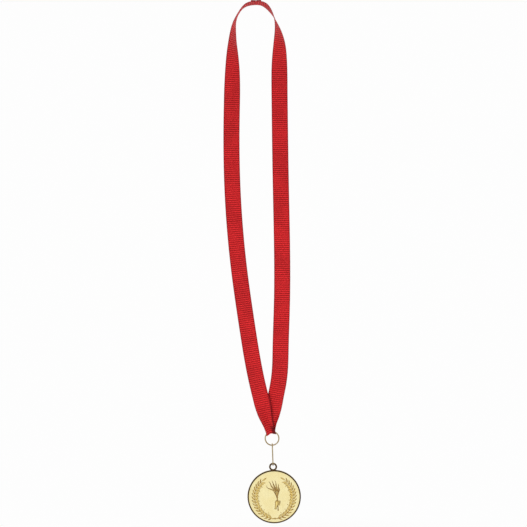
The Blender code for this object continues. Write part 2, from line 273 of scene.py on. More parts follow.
def grow(name: str, rows: Sequence[Row], level: float, sides: int = 12) -> Object:
    """Grows a tapering shape over the lying face, by extruding a ring from station to station.

    Args:
        name: of the object.
        rows: its stations, from the root to the tip.
        level: height of its middle line.
        sides: corners of the ring.

    Returns:
        A closed mesh object.
    """
    stations = [Station(*row) for row in rows]
    spots = [Vector((s.x * MM, s.y * MM, level)) for s in stations]
    headings = []
    for i in range(len(spots)):
        step = spots[min(i + 1, len(spots) - 1)] - spots[max(i - 1, 0)]
        headings.append(math.atan2(step.y, step.x))
    bpy.ops.mesh.primitive_circle_add(
        vertices=sides, radius=MM, fill_type="NGON", location=spots[0],
        rotation=(math.pi / 2, 0, headings[0] + math.pi / 2),
    )
    obj = named(name)
    with editing(obj, "FACE"):
        pick_all()
        bpy.ops.transform.resize(
            value=(1, stations[0].wide, stations[0].high), orient_type="GLOBAL", orient_matrix_type="GLOBAL",
            orient_matrix=Matrix.Rotation(headings[0], 3, "Z"), center_override=spots[0],
        )
        for i in range(1, len(spots)):
            before, now = stations[i - 1], stations[i]
            extrude(spots[i] - spots[i - 1])
            turn_selection(-headings[i - 1], "Z", spots[i])
            resize_selection((1, now.wide / before.wide, now.high / before.high), spots[i])
            turn_selection(headings[i], "Z", spots[i])
    outward(obj)
    return obj


class Piece:
    """A piece of the model: the body it rides on, the CAD node it stands for and a slot name."""

    body = node = slot = ""

    def build(self) -> Object:
        """Makes the piece's mesh."""
        raise NotImplementedError

    def make(self, material: Material) -> Object:
        """Builds the piece, dresses it and ties it to the frame.

        Args:
            material: its finish.

        Returns:
            The finished piece.
        """
        obj = self.build()
        obj.data.materials.clear()
        obj.data.materials.append(material)
        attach(obj, self.body)
        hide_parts(self.node)
        log.info("%s: %d faces, %s", obj.name, len(obj.data.polygons), material.name)
        return obj


# ---------------------------------------------------------------- shader building


class Graph:
    """Adds nodes to a node tree, and joins them."""

    def __init__(self, tree: Tree) -> None:
        """Starts from a tree."""
        self.tree = tree

    def put(self, value: Any, target: Socket) -> None:
        """Links a socket to an input, or sets the input's own value.

        Args:
            value: a socket, a number, a vector or a colour of three numbers.
            target: the input.
        """
        if isinstance(value, Socket):
            self.tree.links.new(value, target)
        else:
            target.default_value = (*value, 1) if target.type == "RGBA" else value

    def fill(self, node: Node, inputs: dict[Any, Any]) -> None:
        """Links or sets several inputs of a node, by name or number."""
        for key, value in inputs.items():
            self.put(value, node.inputs[key])

    def node(self, kind: str, inputs: dict[Any, Any] | None = None, **settings: Any) -> Node:
        """Adds a node.

        Args:
            kind: its type.
            inputs: sockets or values by input name or number.
            settings: properties set on it.

        Returns:
            The node.
        """
        made = self.tree.nodes.new(kind)
        for key, value in settings.items():
            setattr(made, key, value)
        self.fill(made, inputs or {})
        return made

    def group(self, tree: Tree, inputs: dict[str, Any]) -> Any:
        """Adds a node group.

        Args:
            tree: the group.
            inputs: sockets or values by input name.

        Returns:
            Its outputs.
        """
        made = self.node("ShaderNodeGroup", node_tree=tree)
        self.fill(made, inputs)
        return made.outputs

    def math(self, operation: str, *values: Any, clamp: bool = False) -> Socket:
        """The result of a Math node."""
        made = self.node("ShaderNodeMath", dict(enumerate(values)), operation=operation, use_clamp=clamp)
        return made.outputs[0]

    def times(self, first: Any, second: Any) -> Socket:
        """The product of two numbers."""
        return self.math("MULTIPLY", first, second)

    def line(self, value: Any, scale: Any, shift: Any) -> Socket:
        """A number times a scale, plus a shift."""
        return self.math("MULTIPLY_ADD", value, scale, shift)

    def vector(self, operation: str, *values: Any) -> Any:
        """The outputs of a Vector Math node."""
        return self.node("ShaderNodeVectorMath", dict(enumerate(values)), operation=operation).outputs

    def split(self, vector: Socket) -> Any:
        """The X, Y and Z of a vector."""
        return self.node("ShaderNodeSeparateXYZ", {0: vector}).outputs

    def noise(self, vector: Socket, scale: Any, detail: float, roughness: float) -> Socket:
        """The value of a Noise Texture node."""
        inputs = {"Vector": vector, "Scale": scale, "Detail": detail, "Roughness": roughness}
        return self.node("ShaderNodeTexNoise", inputs).outputs[0]

    def ramp(self, value: Any, low: float, high: float, first: Any = 0.0, last: Any = 1.0) -> Socket:
        """A smooth step of a value from low to high, as a number from first to last."""
        inputs = {"Value": value, "From Min": low, "From Max": high, "To Min": first, "To Max": last}
        return self.node("ShaderNodeMapRange", inputs, interpolation_type="SMOOTHSTEP").outputs["Result"]

    def mix(self, share: Any, first: Any, second: Any) -> Socket:
        """Mixes two colours.

        Args:
            share: how much of the second.
            first: a socket or a colour.
            second: a socket or a colour.

        Returns:
            The mixed colour.
        """
        made = self.node("ShaderNodeMix", {"Factor": share}, data_type="RGBA")
        colours = [socket for socket in made.inputs if socket.type == "RGBA"]
        self.put(first, colours[0])
        self.put(second, colours[1])
        return next(socket for socket in made.outputs if socket.type == "RGBA")

    def blend(self, share: Any, first: Socket, second: Socket) -> Socket:
        """Two shaders mixed."""
        return self.node("ShaderNodeMixShader", {0: share, 1: first, 2: second}).outputs[0]

    def bump(self, height: Socket, distance: float, strength: float) -> Socket:
        """The normal of a surface with small relief."""
        inputs = {"Height": height, "Distance": distance, "Strength": strength}
        return self.node("ShaderNodeBump", inputs).outputs[0]


def new_material(name: str) -> tuple[Material, Graph, Node]:
    """Starts a material.

    Args:
        name: of the material.

    Returns:
        The material, its graph and its Principled BSDF.
    """
    made = bpy.data.materials.new(name)
    made.use_nodes = True
    return made, Graph(made.node_tree), made.node_tree.nodes["Principled BSDF"]


def group_tree(name: str, inputs: dict[str, Any], outputs: Sequence[str]) -> tuple[Graph, Any, Node]:
    """Starts a shader node group that puts out plain numbers.

    Args:
        name: of the group.
        inputs: name to default value; a tuple makes a vector.
        outputs: names.

    Returns:
        The graph, the group's input sockets and its output node.
    """
    tree = bpy.data.node_groups.new(name, "ShaderNodeTree")
    for key, value in inputs.items():
        kind = "NodeSocketVector" if isinstance(value, tuple) else "NodeSocketFloat"
        tree.interface.new_socket(key, in_out="INPUT", socket_type=kind).default_value = value
    for key in outputs:
        tree.interface.new_socket(key, in_out="OUTPUT", socket_type="NodeSocketFloat")
    graph = Graph(tree)
    return graph, graph.node("NodeGroupInput").outputs, graph.node("NodeGroupOutput")


def weave_group() -> Tree:
    """Ribs and yarns of a corded weave, from metres across and along the strip.

    Returns:
        The group.
    """
    graph, given, out = group_tree(
        "corded_weave",
        {"Across": 0.0, "Along": 0.0, "Rib Pitch": 1.0, "Yarn Pitch": 1.0, "Width": 1.0},
        ("Groove", "Height", "Selvedge"),
    )
    turns = graph.math("DIVIDE", given["Along"], given["Rib Pitch"])
    arch = graph.math("ABSOLUTE", graph.math("SINE", graph.times(turns, math.pi)))
    # where the grooves lie: this lowers the yarns and places the painted groove shade
    groove = graph.ramp(arch, 0.95, 0.25)
    step = graph.times(graph.math("FLOOR", turns), math.pi)
    yarns = graph.math("DIVIDE", given["Across"], given["Yarn Pitch"])
    yarn = graph.line(graph.math("SINE", graph.line(yarns, 2 * math.pi, step)), 0.5, 0.5)
    half = graph.times(given["Width"], 0.5)
    edge = graph.math("DIVIDE", graph.math("ABSOLUTE", graph.math("SUBTRACT", given["Across"], half)), half)
    height = graph.times(yarn, graph.line(groove, -0.6, 1.0))
    graph.fill(out, {"Groove": groove, "Height": height, "Selvedge": graph.ramp(edge, 0.84, 0.93)})
    return graph.tree


def grain_group() -> Tree:
    """Fine grain and broad cloudiness of a surface.

    Returns:
        The group.
    """
    inputs = {"Vector": (0, 0, 0), "Grain Scale": 1.0, "Cloud Scale": 1.0}
    graph, given, out = group_tree("surface_grain", inputs, ("Grain", "Cloud"))
    broad = graph.noise(given["Vector"], given["Cloud Scale"], 2.0, 0.5)
    fine = graph.noise(given["Vector"], given["Grain Scale"], 3.0, 0.6)
    graph.fill(out, {"Grain": fine, "Cloud": graph.ramp(broad, 0.35, 0.65)})
    return graph.tree


def rub_group() -> Tree:
    """Hairline rubbing marks that run one way, as a mask.

    Returns:
        The group.
    """
    inputs = {"Vector": (0, 0, 0), "Scale": 60.0, "Stretch": 14.0}
    graph, given, out = group_tree("hairline_rub", inputs, ("Rub",))
    long = graph.node("ShaderNodeCombineXYZ", {0: given["Stretch"], 1: given["Stretch"], 2: 1.0})
    drawn = graph.vector("MULTIPLY", given["Vector"], long.outputs[0])[0]
    lines = graph.noise(drawn, given["Scale"], 4.0, 0.7)
    graph.fill(out, {"Rub": graph.ramp(lines, 0.5, 0.72)})
    return graph.tree


@dataclass(frozen=True)
class ClothFinish:
    """A woven or twisted fabric, with pitches, width and bump in metres."""

    name: str
    crest: Row
    # painted shade in the grooves between the ribs
    groove: Row
    selvedge: Row
    # painted shadow beside the upper strand's edge, and painted shade in the fold's corner
    painted_shade: Row
    roughness: float
    sheen: float
    bump: float
    rib_pitch: float
    yarn_pitch: float
    width: float
    grain_scale: float = 2600.0
    cloud_scale: float = 40.0

    def material(self, weave: Tree, grain: Tree) -> Material:
        """Makes the material, on the piece's own UV map in metres.

        Args:
            weave: the shared weave group.
            grain: the shared grain group.

        Returns:
            The new material.
        """
        made, graph, shader = new_material(self.name)
        spot = graph.node("ShaderNodeUVMap", uv_map="UVMap").outputs[0]
        across, along, _ = graph.split(spot)
        pitches = {"Rib Pitch": self.rib_pitch, "Yarn Pitch": self.yarn_pitch, "Width": self.width}
        woven = graph.group(weave, {"Across": across, "Along": along, **pitches})
        scales = {"Grain Scale": self.grain_scale, "Cloud Scale": self.cloud_scale}
        fuzz = graph.group(grain, {"Vector": spot, **scales})
        # painted shade darkens the grooves between the ribs
        colour = graph.mix(woven["Groove"], self.crest, self.groove)
        colour = graph.mix(graph.times(woven["Selvedge"], 0.7), colour, self.selvedge)
        # painted shadow and painted shade, read from the strip's point attribute
        shade = graph.node("ShaderNodeAttribute", attribute_name="painted_shade").outputs["Fac"]
        colour = graph.mix(graph.times(shade, 0.85), colour, self.painted_shade)
        dye = graph.math("ADD", graph.line(fuzz["Cloud"], 0.16, 0.91), graph.line(fuzz["Grain"], 0.3, -0.15))
        tinted = graph.node("ShaderNodeVectorMath", {0: colour, "Scale": dye}, operation="SCALE")
        height = graph.math("ADD", woven["Height"], graph.times(fuzz["Grain"], 0.6))
        graph.fill(shader, {
            "Base Color": tinted.outputs[0],
            "Roughness": graph.line(fuzz["Grain"], 0.2, self.roughness - 0.1),
            "Sheen Weight": self.sheen,
            "Sheen Roughness": 0.35,
            "Sheen Tint": (1.0, 0.5, 0.5),
            "Specular IOR Level": 0.35,
            "Normal": graph.bump(height, self.bump, 0.8),
        })
        return made


class Tone(Enum):
    """How a gilt surface is finished."""

    DRAWN = "drawn wire"
    # the brown in the hollows is patina and painted shade
    STRUCK = "struck, with a patina in its hollows"


@dataclass(frozen=True)
class GiltFinish:
    """A gilt metal surface. A struck one is browned between two heights off the disc's middle plane: patina
    and painted shade in the hollows and at the feet of the relief.

    Where it has a rim, the patina and painted shade keep to the rim, a painted dark reflection covers the rim
    and the eyelet, and both fade out towards the middle of the outer edge, which keeps the plain gilt colour.
    """

    name: str
    tone: Tone
    centre: Row
    bright: Row
    warm: Row
    roughness: float
    grain_scale: float
    bump: float
    # patina and painted shade in the hollows, between two heights off the middle plane
    brown: Row = (0.0, 0.0, 0.0)
    brown_low: float = 0.0
    brown_high: float = 0.0
    # strength of the patina and painted shade
    patina_and_shade: float = 0.0
    # painted dark reflection on the rim and the eyelet
    rim_painted_reflection: Row = (0.0, 0.0, 0.0)
    rim_start: float = 0.0
    rim_full: float = 0.0
    cloud_scale: float = 110.0

    def material(self, grain: Tree, rub: Tree) -> Material:
        """Makes the material, on Object coordinates about the piece's own centre.

        Args:
            grain: the shared grain group.
            rub: the shared rubbing group.

        Returns:
            The new material.
        """
        made, graph, shader = new_material(self.name)
        coords = graph.node("ShaderNodeTexCoord").outputs["Object"]
        shift = tuple(-c for c in self.centre)
        spot = graph.node("ShaderNodeMapping", {"Vector": coords, "Location": shift}).outputs[0]
        scales = {"Grain Scale": self.grain_scale, "Cloud Scale": self.cloud_scale}
        surface = graph.group(grain, {"Vector": spot, **scales})
        marks = graph.group(rub, {"Vector": spot})
        colour = graph.mix(surface["Cloud"], self.bright, self.warm)
        metal = 1.0
        if self.tone is Tone.STRUCK:
            # patina and painted shade on the relief's lower parts
            raised = graph.math("ABSOLUTE", graph.split(spot)[1])
            low = graph.ramp(raised, self.brown_high, self.brown_low)
            if self.rim_start:
                flat = graph.vector("MULTIPLY", spot, (1, 0, 1))[0]
                edge = graph.ramp(graph.vector("LENGTH", flat)["Value"], self.rim_start, self.rim_full)
                edge = graph.times(edge, graph.ramp(raised, 0.00015, 0.0005))
                low = graph.times(low, edge)
                # painted dark reflection on the rim and the eyelet
                colour = graph.mix(edge, colour, self.rim_painted_reflection)
            patchy = graph.line(surface["Grain"], 0.5, self.patina_and_shade)
            patina_and_shade = graph.math("MULTIPLY", low, patchy, clamp=True)
            colour = graph.mix(patina_and_shade, colour, self.brown)
            metal = graph.line(patina_and_shade, -0.9, 1.0)
        rough = graph.line(surface["Grain"], 0.16, self.roughness - 0.08)
        graph.fill(shader, {
            "Base Color": colour,
            "Roughness": graph.line(marks["Rub"], 0.12, rough),
            "Metallic": metal,
            "Specular IOR Level": 0.2,
            "Normal": graph.bump(graph.line(marks["Rub"], -0.25, surface["Grain"]), self.bump, 0.6),
        })
        return made


# ---------------------------------------------------------------- ribbon


class Side(Enum):
    """A strand of the ribbon, seen from in front of the medal."""

    LEFT = -1
    RIGHT = 1


def spline(points: Sequence[Sequence[float]], at: np.ndarray) -> np.ndarray:
    """A natural cubic curve.

    Args:
        points: rows of (parameter, value, ...).
        at: the parameters to read it at.

    Returns:
        The values, one row for each parameter.
    """
    rows = np.array(points, float)
    knots, values = rows[:, 0], rows[:, 1:]
    gaps = np.diff(knots)
    slopes = np.diff(values, axis=0) / gaps[:, None]
    system, target = np.eye(len(knots)), np.zeros_like(values)
    for i in range(1, len(knots) - 1):
        system[i, i - 1 : i + 2] = gaps[i - 1], 2 * (gaps[i - 1] + gaps[i]), gaps[i]
        target[i] = 6 * (slopes[i] - slopes[i - 1])
    bends = np.linalg.solve(system, target)
    cell = np.clip(np.searchsorted(knots, at, side="right") - 1, 0, len(gaps) - 1)
    gap = gaps[cell][:, None]
    after, before = (at - knots[cell])[:, None], (knots[cell + 1] - at)[:, None]
    cubic = (bends[cell] * before**3 + bends[cell + 1] * after**3) / (6 * gap)
    start = (values[cell] / gap - bends[cell] * gap / 6) * before
    end = (values[cell + 1] / gap - bends[cell + 1] * gap / 6) * after
    return cubic + start + end


def ease(share: np.ndarray) -> np.ndarray:
    """A smooth step from 0 to 1."""
    held = np.clip(share, 0.0, 1.0)
    return held * held * (3 - 2 * held)


def hump(value: np.ndarray, span: Row) -> np.ndarray:
    """Steps up over the first two numbers of a span, and down over the last two.

    Args:
        value: what the span is measured in.
        span: four rising numbers.

    Returns:
        0 outside the span and 1 in its middle.
    """
    start, full, fading, end = span
    return ease((value - start) / (full - start)) * (1 - ease((value - fading) / (end - fading)))


def unit(vectors: np.ndarray) -> np.ndarray:
    """Vectors brought to length one."""
    return vectors / np.maximum(np.linalg.norm(vectors, axis=-1, keepdims=True), 1e-12)


@dataclass
class Strand:
    """One half of the ribbon: its way down, its turn about its own line, and how its edges bend.

    Crown points are (x, z) from the nape, fall points (x, share of the way down), gather points
    (x, height above the fold) and turn points (distance along, degrees). Curl lifts the inner edge
    and roll the outer one, just above the fold.
    """

    side: Side
    crown: tuple[Row, ...]
    fall: tuple[Row, ...]
    gather: tuple[Row, ...]
    turn: tuple[Row, ...]
    curl: float
    roll: float


LEFT_STRAND = Strand(
    Side.LEFT,
    crown=((0, 0), (-0.0055, -0.0004), (-0.0107, -0.0023), (-0.0156, -0.0073), (-0.0197, -0.0150)),
    fall=(
        (-0.0224, 0.0), (-0.0240, 0.08), (-0.0266, 0.23), (-0.0284, 0.39),
        (-0.0276, 0.55), (-0.0246, 0.69), (-0.0194, 0.84), (-0.0120, 1.0),
    ),
    gather=((-0.0076, 0.023), (-0.0051, 0.0115), (-0.0029, 0.0048)),
    turn=((0, 0), (0.014, -5), (0.024, -1), (0.032, 10), (0.047, 28), (0.062, 48), (0.084, 72), (0.103, 90)),
    curl=-0.0011,
    roll=0.0003,
)
RIGHT_STRAND = Strand(
    Side.RIGHT,
    crown=((0, 0), (0.0045, -0.0006), (0.0086, -0.0026), (0.0126, -0.0069), (0.0162, -0.0135)),
    fall=(
        (0.0198, 0.0), (0.0200, 0.08), (0.0184, 0.23), (0.0170, 0.42),
        (0.0160, 0.60), (0.0138, 0.78), (0.0112, 0.90), (0.0081, 1.0),
    ),
    gather=((0.0036, 0.025), (0.0012, 0.0115), (-0.0004, 0.0048)),
    turn=((0, 0), (0.009, -7), (0.018, 0), (0.026, 9), (0.045, 42), (0.063, 69), (0.082, 90)),
    curl=0.0008,
    roll=0.0022,
)


@dataclass
class Ribbon(Piece):
    """The woven neck ribbon: one strip, from the cut end of one tail to the cut end of the other.

    A span is where an effect starts, is full, fades and ends: for the cup, the two strands' slight hollow,
    in metres below the nape, and for the others above the fold.
    """

    body, node, slot = "ribbon", "ribbon", "ribbon_weave"
    width: float = 0.015
    thickness: float = 0.0005
    rib_pitch: float = 0.00195
    rib_depth: float = 0.00010
    steps_per_rib: int = 6
    ring_radius: float = 0.0064
    ring_centre: float = -0.4075028
    fold_lean: float = math.radians(10)
    fold_radius: float = 0.0027
    fold_lift: float = 0.0014
    gathered_width: float = 0.0096
    gather_height: float = 0.027
    curved_height: float = 0.014
    layer_offset: float = 0.00065
    closing_height: float = 0.020
    overlap_height: float = 0.045
    level_height: float = 0.115
    shoulder_depth: float = 0.027
    strand_end: float = 0.045
    tail_length: float = 0.0042
    tail_lift: float = math.radians(3)
    seam_radius: float = 0.00032
    seam_gap: float = 0.00003
    pleats: int = 2
    # width of the painted shadow beside the upper strand's edge
    painted_shade_width: float = 0.0011
    pleat_depths: Row = (0.0004, 0.0014)
    pleat_span: Row = (0.002, 0.011)
    # how high above the fold the painted shadow reaches
    painted_shade_reach: float = 0.060
    # heights above the fold where the painted shade in the fold's corner is full and where it ends
    corner_span: Row = (0.002, 0.006)
    curl_flat: float = 0.2
    curl_span: Row = (0.004, 0.016, 0.036, 0.066)
    cup: float = 0.00022
    cup_wave: float = 0.043
    cup_span: Row = (0.0, 0.10, 0.28, 0.35)
    round_start: float = 0.965
    edge_spread: float = 0.00007

    def __post_init__(self) -> None:
        """Works out the columns across the strip, and where the fold is."""
        half = np.array([0.0, 0.2, 0.4, 0.6, 0.78, 0.9, 0.95, 0.975, 0.99, 1.0])
        self.columns = np.concatenate([-half[:0:-1], half])
        self.half_turn = self.gathered_width / 2 / self.ring_radius
        top = math.pi / 2 + self.fold_lean
        self.ring_out = np.array([math.cos(top), 0, math.sin(top)])
        self.fold_pivot = np.array([0, 0, self.ring_centre]) + self.ring_out * self.ring_radius
        self.fold_top = self.fold_pivot + self.ring_out * self.fold_lift

    def curved_section(self) -> np.ndarray:
        """Bends the strip's section along the ring's wire.

        Returns:
            One place for each column, from the middle of the fold.
        """
        angle = math.pi / 2 + self.fold_lean - self.columns * self.half_turn
        arc = np.stack([np.cos(angle), np.zeros_like(angle), np.sin(angle)], axis=1)
        return (arc - self.ring_out) * self.ring_radius

    def layer_distance(self, height: np.ndarray) -> np.ndarray:
        """Parts the strands near the fold, and lays them on each other where they cross.

        Args:
            height: above the fold.

        Returns:
            A strand's distance from the middle plane.
        """
        closing = self.fold_radius + self.thickness / 2 - self.layer_offset
        apart = 1 - ease((height - self.overlap_height) / (self.level_height - self.overlap_height))
        return self.layer_offset * apart + closing * (1 - ease(height / self.closing_height))

    def chord(self, height: np.ndarray) -> np.ndarray:
        """The gathered strip's width across, by its height above the fold."""
        return self.gathered_width + (self.width - self.gathered_width) * ease(height / self.gather_height)

    def strand_points(self, strand: Strand, fineness: float = 0.0003) -> np.ndarray:
        """One strand's middle surface from the nape to the fold.

        Args:
            strand: which half.
            fineness: step along it.

        Returns:
            Points, as rows along by columns across by 3.
        """
        middle = self.thickness / 2
        top, bottom = -self.shoulder_depth, self.fold_top[2] + self.strand_end
        points = [(x, z + middle) for x, z in strand.crown]
        points += [(x, top + share * (bottom - top)) for x, share in strand.fall]
        points += [(x, self.fold_top[2] + height) for x, height in strand.gather]
        points.append((self.fold_top[0], self.fold_top[2]))
        along = self.lengths(np.array(points))
        start = self.seam_radius + self.seam_gap / 2 + middle
        distance = np.linspace(start, along[-1], int((along[-1] - start) / fineness))
        route = spline([(a, *p) for a, p in zip(along, points, strict=True)], distance)
        turned = spline(strand.turn, np.minimum(distance, strand.turn[-1][0]))[:, 0]
        turned = np.radians(np.minimum(turned, 90))
        height = route[:, 1] - self.fold_top[2]
        line = np.stack([route[:, 0], strand.side.value * self.layer_distance(height), route[:, 1]], axis=1)
        tangent = unit(np.gradient(line, axis=0))
        across = np.stack([np.sin(turned), np.cos(turned), np.zeros_like(turned)], axis=1)
        across = unit(across - tangent * (across * tangent).sum(1, keepdims=True))
        straight = across[:, None, :] * (self.columns[None, :, None] * self.chord(height)[:, None, None] / 2)
        outward_share = strand.side.value * self.columns
        for lift, share in ((strand.curl, -outward_share), (strand.roll, outward_share)):
            bent = np.clip((share - self.curl_flat) / (1 - self.curl_flat), 0, 1) ** 2
            straight[:, :, 1] += hump(height, self.curl_span)[:, None] * (lift * bent)[None]
        follow = (1 - ease(height / self.curved_height))[:, None, None]
        section = straight * (1 - follow) + self.curved_section()[None] * follow
        return line[:, None, :] + section

    def tail_points(self, side: Side) -> np.ndarray:
        """One turned-back end, from its tip to where the loop begins.

        Args:
            side: which end.

        Returns:
            Points, as rows along by columns across by 3.
        """
        level = self.thickness / 2 + self.seam_radius
        inner = level + self.seam_gap / 2
        reach = np.linspace(self.tail_length, 0.05 * self.tail_length, 14)
        rise = level + self.seam_radius + reach * math.sin(self.tail_lift)
        straight = np.stack([inner + reach * math.cos(self.tail_lift), rise], axis=1)
        angle = np.linspace(math.pi / 2, math.pi * 1.5, 16)[:-1]
        bend = np.stack([np.cos(angle), np.sin(angle)], axis=1) * self.seam_radius + (inner, level)
        line = np.concatenate([straight, bend])
        points = np.zeros((len(line), len(self.columns), 3))
        points[:, :, 0] = side.value * line[:, 0, None]
        points[:, :, 1] = self.columns[None, :] * self.width / 2
        points[:, :, 2] = line[:, 1, None]
        return points

    def fold_points(self) -> np.ndarray:
        """The fold round the ring's wire, from the front strand to the back one.

        Returns:
            Points, as rows along by columns across by 3.
        """
        radius = self.fold_radius + self.thickness / 2
        angle = np.linspace(0, math.pi, 34)[1:-1]
        centre = self.fold_pivot + self.curved_section()
        swing = self.ring_out[None, :] * (self.fold_lift - radius * np.sin(angle))[:, None]
        swing[:, 1] -= radius * np.cos(angle)
        return centre[None] + swing[:, None, :]

    def pleat_depth(self, points: np.ndarray) -> np.ndarray:
        """Pleats the gathered strip, so that its real width finds room.

        Args:
            points: the middle surface.

        Returns:
            How far it bulges outwards at each point.
        """
        height = np.maximum(points[:, len(self.columns) // 2, 2] - self.fold_top[2], 0)
        chord = self.chord(height)
        slope = 2 * np.sqrt(np.maximum(self.width / chord - 1, 0))
        depth = slope * chord / (math.pi * self.pleats)
        least, most = self.pleat_depths
        start, end = self.pleat_span
        limit = least + (most - least) * ease((height - start) / (end - start))
        share = (self.columns + 1) / 2
        uneven = share + 0.035 * np.sin(2 * math.pi * share)
        return np.minimum(depth, limit)[:, None] * (1 - np.cos(2 * math.pi * self.pleats * uneven))[None] / 2

    def surface(self) -> tuple[np.ndarray, np.ndarray]:
        """The middle surface in even steps.

        Returns:
            Points as rows along by columns across by 3, and each row's distance from the first tail's tip.
        """
        parts = [
            self.tail_points(Side.LEFT), self.strand_points(LEFT_STRAND), self.fold_points(),
            self.strand_points(RIGHT_STRAND)[::-1], self.tail_points(Side.RIGHT)[::-1],
        ]
        rough = np.concatenate(parts)
        along = self.lengths(rough[:, len(self.columns) // 2])
        keep = np.concatenate([[True], np.diff(along) > 1e-7])
        rough, along = rough[keep], along[keep]
        ribs = round(along[-1] / self.rib_pitch)
        even = np.linspace(0, along[-1], ribs * self.steps_per_rib + 1)
        points = np.empty((len(even), len(self.columns), 3))
        for column in range(len(self.columns)):
            for axis in range(3):
                points[:, column, axis] = np.interp(even, along, rough[:, column, axis])
        points += self.normals(points) * self.pleat_depth(points)[..., None]
        hang = hump(-points[:, :, 2], self.cup_span)
        cup = self.cup * (1 - 1.6 * self.columns[None, :] ** 2) * np.sin(even / self.cup_wave)[:, None]
        points += self.normals(points) * (cup * hang)[..., None]
        return points, even

    def painted_shades(self, points: np.ndarray) -> tuple[np.ndarray, np.ndarray]:
        """Finds the painted shade on the cloth: a painted shadow beside the upper strand's edge, and painted
        shade in the fold's corner.

        Args:
            points: the middle surface.

        Returns:
            Numbers from 0 to 1, one for each point, on the outside of the fold and on its inside.
        """
        middle = points[:, len(self.columns) // 2, 2] - self.fold_top[2]
        height = points[:, :, 2] - self.fold_top[2]
        turn = int(np.argmin(middle))
        start = int(np.argmax(middle[:turn] < self.painted_shade_reach + 0.015))
        upper = points[start:turn, -1]
        edge = np.interp(points[:, :, 2], upper[::-1, 2], upper[::-1, 0])
        past = (points[:, :, 0] - edge) / self.painted_shade_width
        window = ease((self.painted_shade_reach - height) / 0.010)
        # painted shadow on the lower strand, beside the upper strand's edge
        inside = np.exp(-np.maximum(past, 0) ** 2) * window
        # painted shade in the fold's corner
        low, high = self.corner_span
        outside = ease((high - height) / (high - low)) * ease((self.columns[None] - 0.05) / 0.5)
        inside[:turn] = 0
        outside[turn:] = 0
        return outside, inside

    @staticmethod
    def lengths(line: np.ndarray) -> np.ndarray:
        """Each point's distance along a line from its start."""
        return np.concatenate([[0], np.cumsum(np.linalg.norm(np.diff(line, axis=0), axis=1))])

    @staticmethod
    def normals(points: np.ndarray) -> np.ndarray:
        """The middle surface's normals, away from the inside of the fold."""
        return unit(np.cross(np.gradient(points, axis=0), np.gradient(points, axis=1)))

    def shell(self, points: np.ndarray, along: np.ndarray) -> np.ndarray:
        """Gives the middle surface its ribbed thickness and its rounded edges.

        Args:
            points: the middle surface.
            along: each row's distance along the strip.

        Returns:
            Rows along by points round the strip's section by 3.
        """
        rib = np.abs(np.sin(math.pi * along / (along[-1] / round(along[-1] / self.rib_pitch)))) ** 0.6
        past = np.clip((np.abs(self.columns) - self.round_start) / (1 - self.round_start), 0, 1)
        half = (self.thickness / 2 - self.rib_depth) + self.rib_depth * 1.3 * rib
        lift = self.normals(points) * (half[:, None] * np.sqrt(1 - past**2)[None])[..., None]
        spread = (np.sign(self.columns) * past)[None, :, None] * (self.edge_spread * rib)[:, None, None]
        edged = points + unit(np.gradient(points, axis=1)) * spread
        return np.concatenate([edged + lift, (edged - lift)[:, -2:0:-1]], axis=1)

    def faces(self, rows: int) -> list[list[int]]:
        """Joins the shell's points into walls and two flat ends.

        Args:
            rows: how many rows of points lie along the strip.

        Returns:
            The faces, as point numbers.
        """
        count = len(self.columns)
        loop = 2 * count - 2
        first = np.arange(rows - 1)[:, None] * loop
        here = np.arange(loop)[None, :]
        after = (here + 1) % loop
        corners = [first + here, first + loop + here, first + loop + after, first + after]
        faces = np.stack(corners, axis=-1).reshape(-1, 4).tolist()
        for row, way in ((0, 1), (rows - 1, -1)):
            for i in range(count - 1):
                low = [row * loop + i, row * loop + i + 1]
                high = [row * loop + (loop - i - 1) % loop, row * loop + (loop - i) % loop]
                face = [*low, *high]
                if i in (0, count - 2):
                    face = [*low, high[1] if i else high[0]]
                faces.append(face[::way])
        return faces

    def build(self) -> Object:
        """Makes the ribbon as one closed corded strip.

        Returns:
            The ribbon, with its UV map in metres.
        """
        points, along = self.surface()
        shell = self.shell(points, along)
        rows, loop = shell.shape[:2]
        mesh = bpy.data.meshes.new("ribbon_strip")
        mesh.from_pydata(shell.reshape(-1, 3).tolist(), [], self.faces(rows))
        across = (self.columns + 1) / 2 * self.width
        across = np.concatenate([across, across[-2:0:-1]])
        vertex = np.empty(len(mesh.loops), int)
        mesh.loops.foreach_get("vertex_index", vertex)
        uv = np.stack([across[vertex % loop], along[vertex // loop]], axis=1)
        mesh.uv_layers.new(name="UVMap").data.foreach_set("uv", uv.astype(np.float32).ravel())
        # the painted shadow and shade go into a point attribute for the cloth material
        outside, inside = self.painted_shades(points)
        painted_shade = np.concatenate([outside, inside[:, -2:0:-1]], axis=1).astype(np.float32)
        mesh.attributes.new("painted_shade", "FLOAT", "POINT").data.foreach_set("value", painted_shade.ravel())
        mesh.validate()
        strip = linked("ribbon_strip", mesh)
        outward(strip)
        smooth(strip, 60)
        self.length = float(along[-1])
        log.info("ribbon: %.0f mm long, %d ribs", self.length / MM, round(self.length / self.rib_pitch))
        return strip


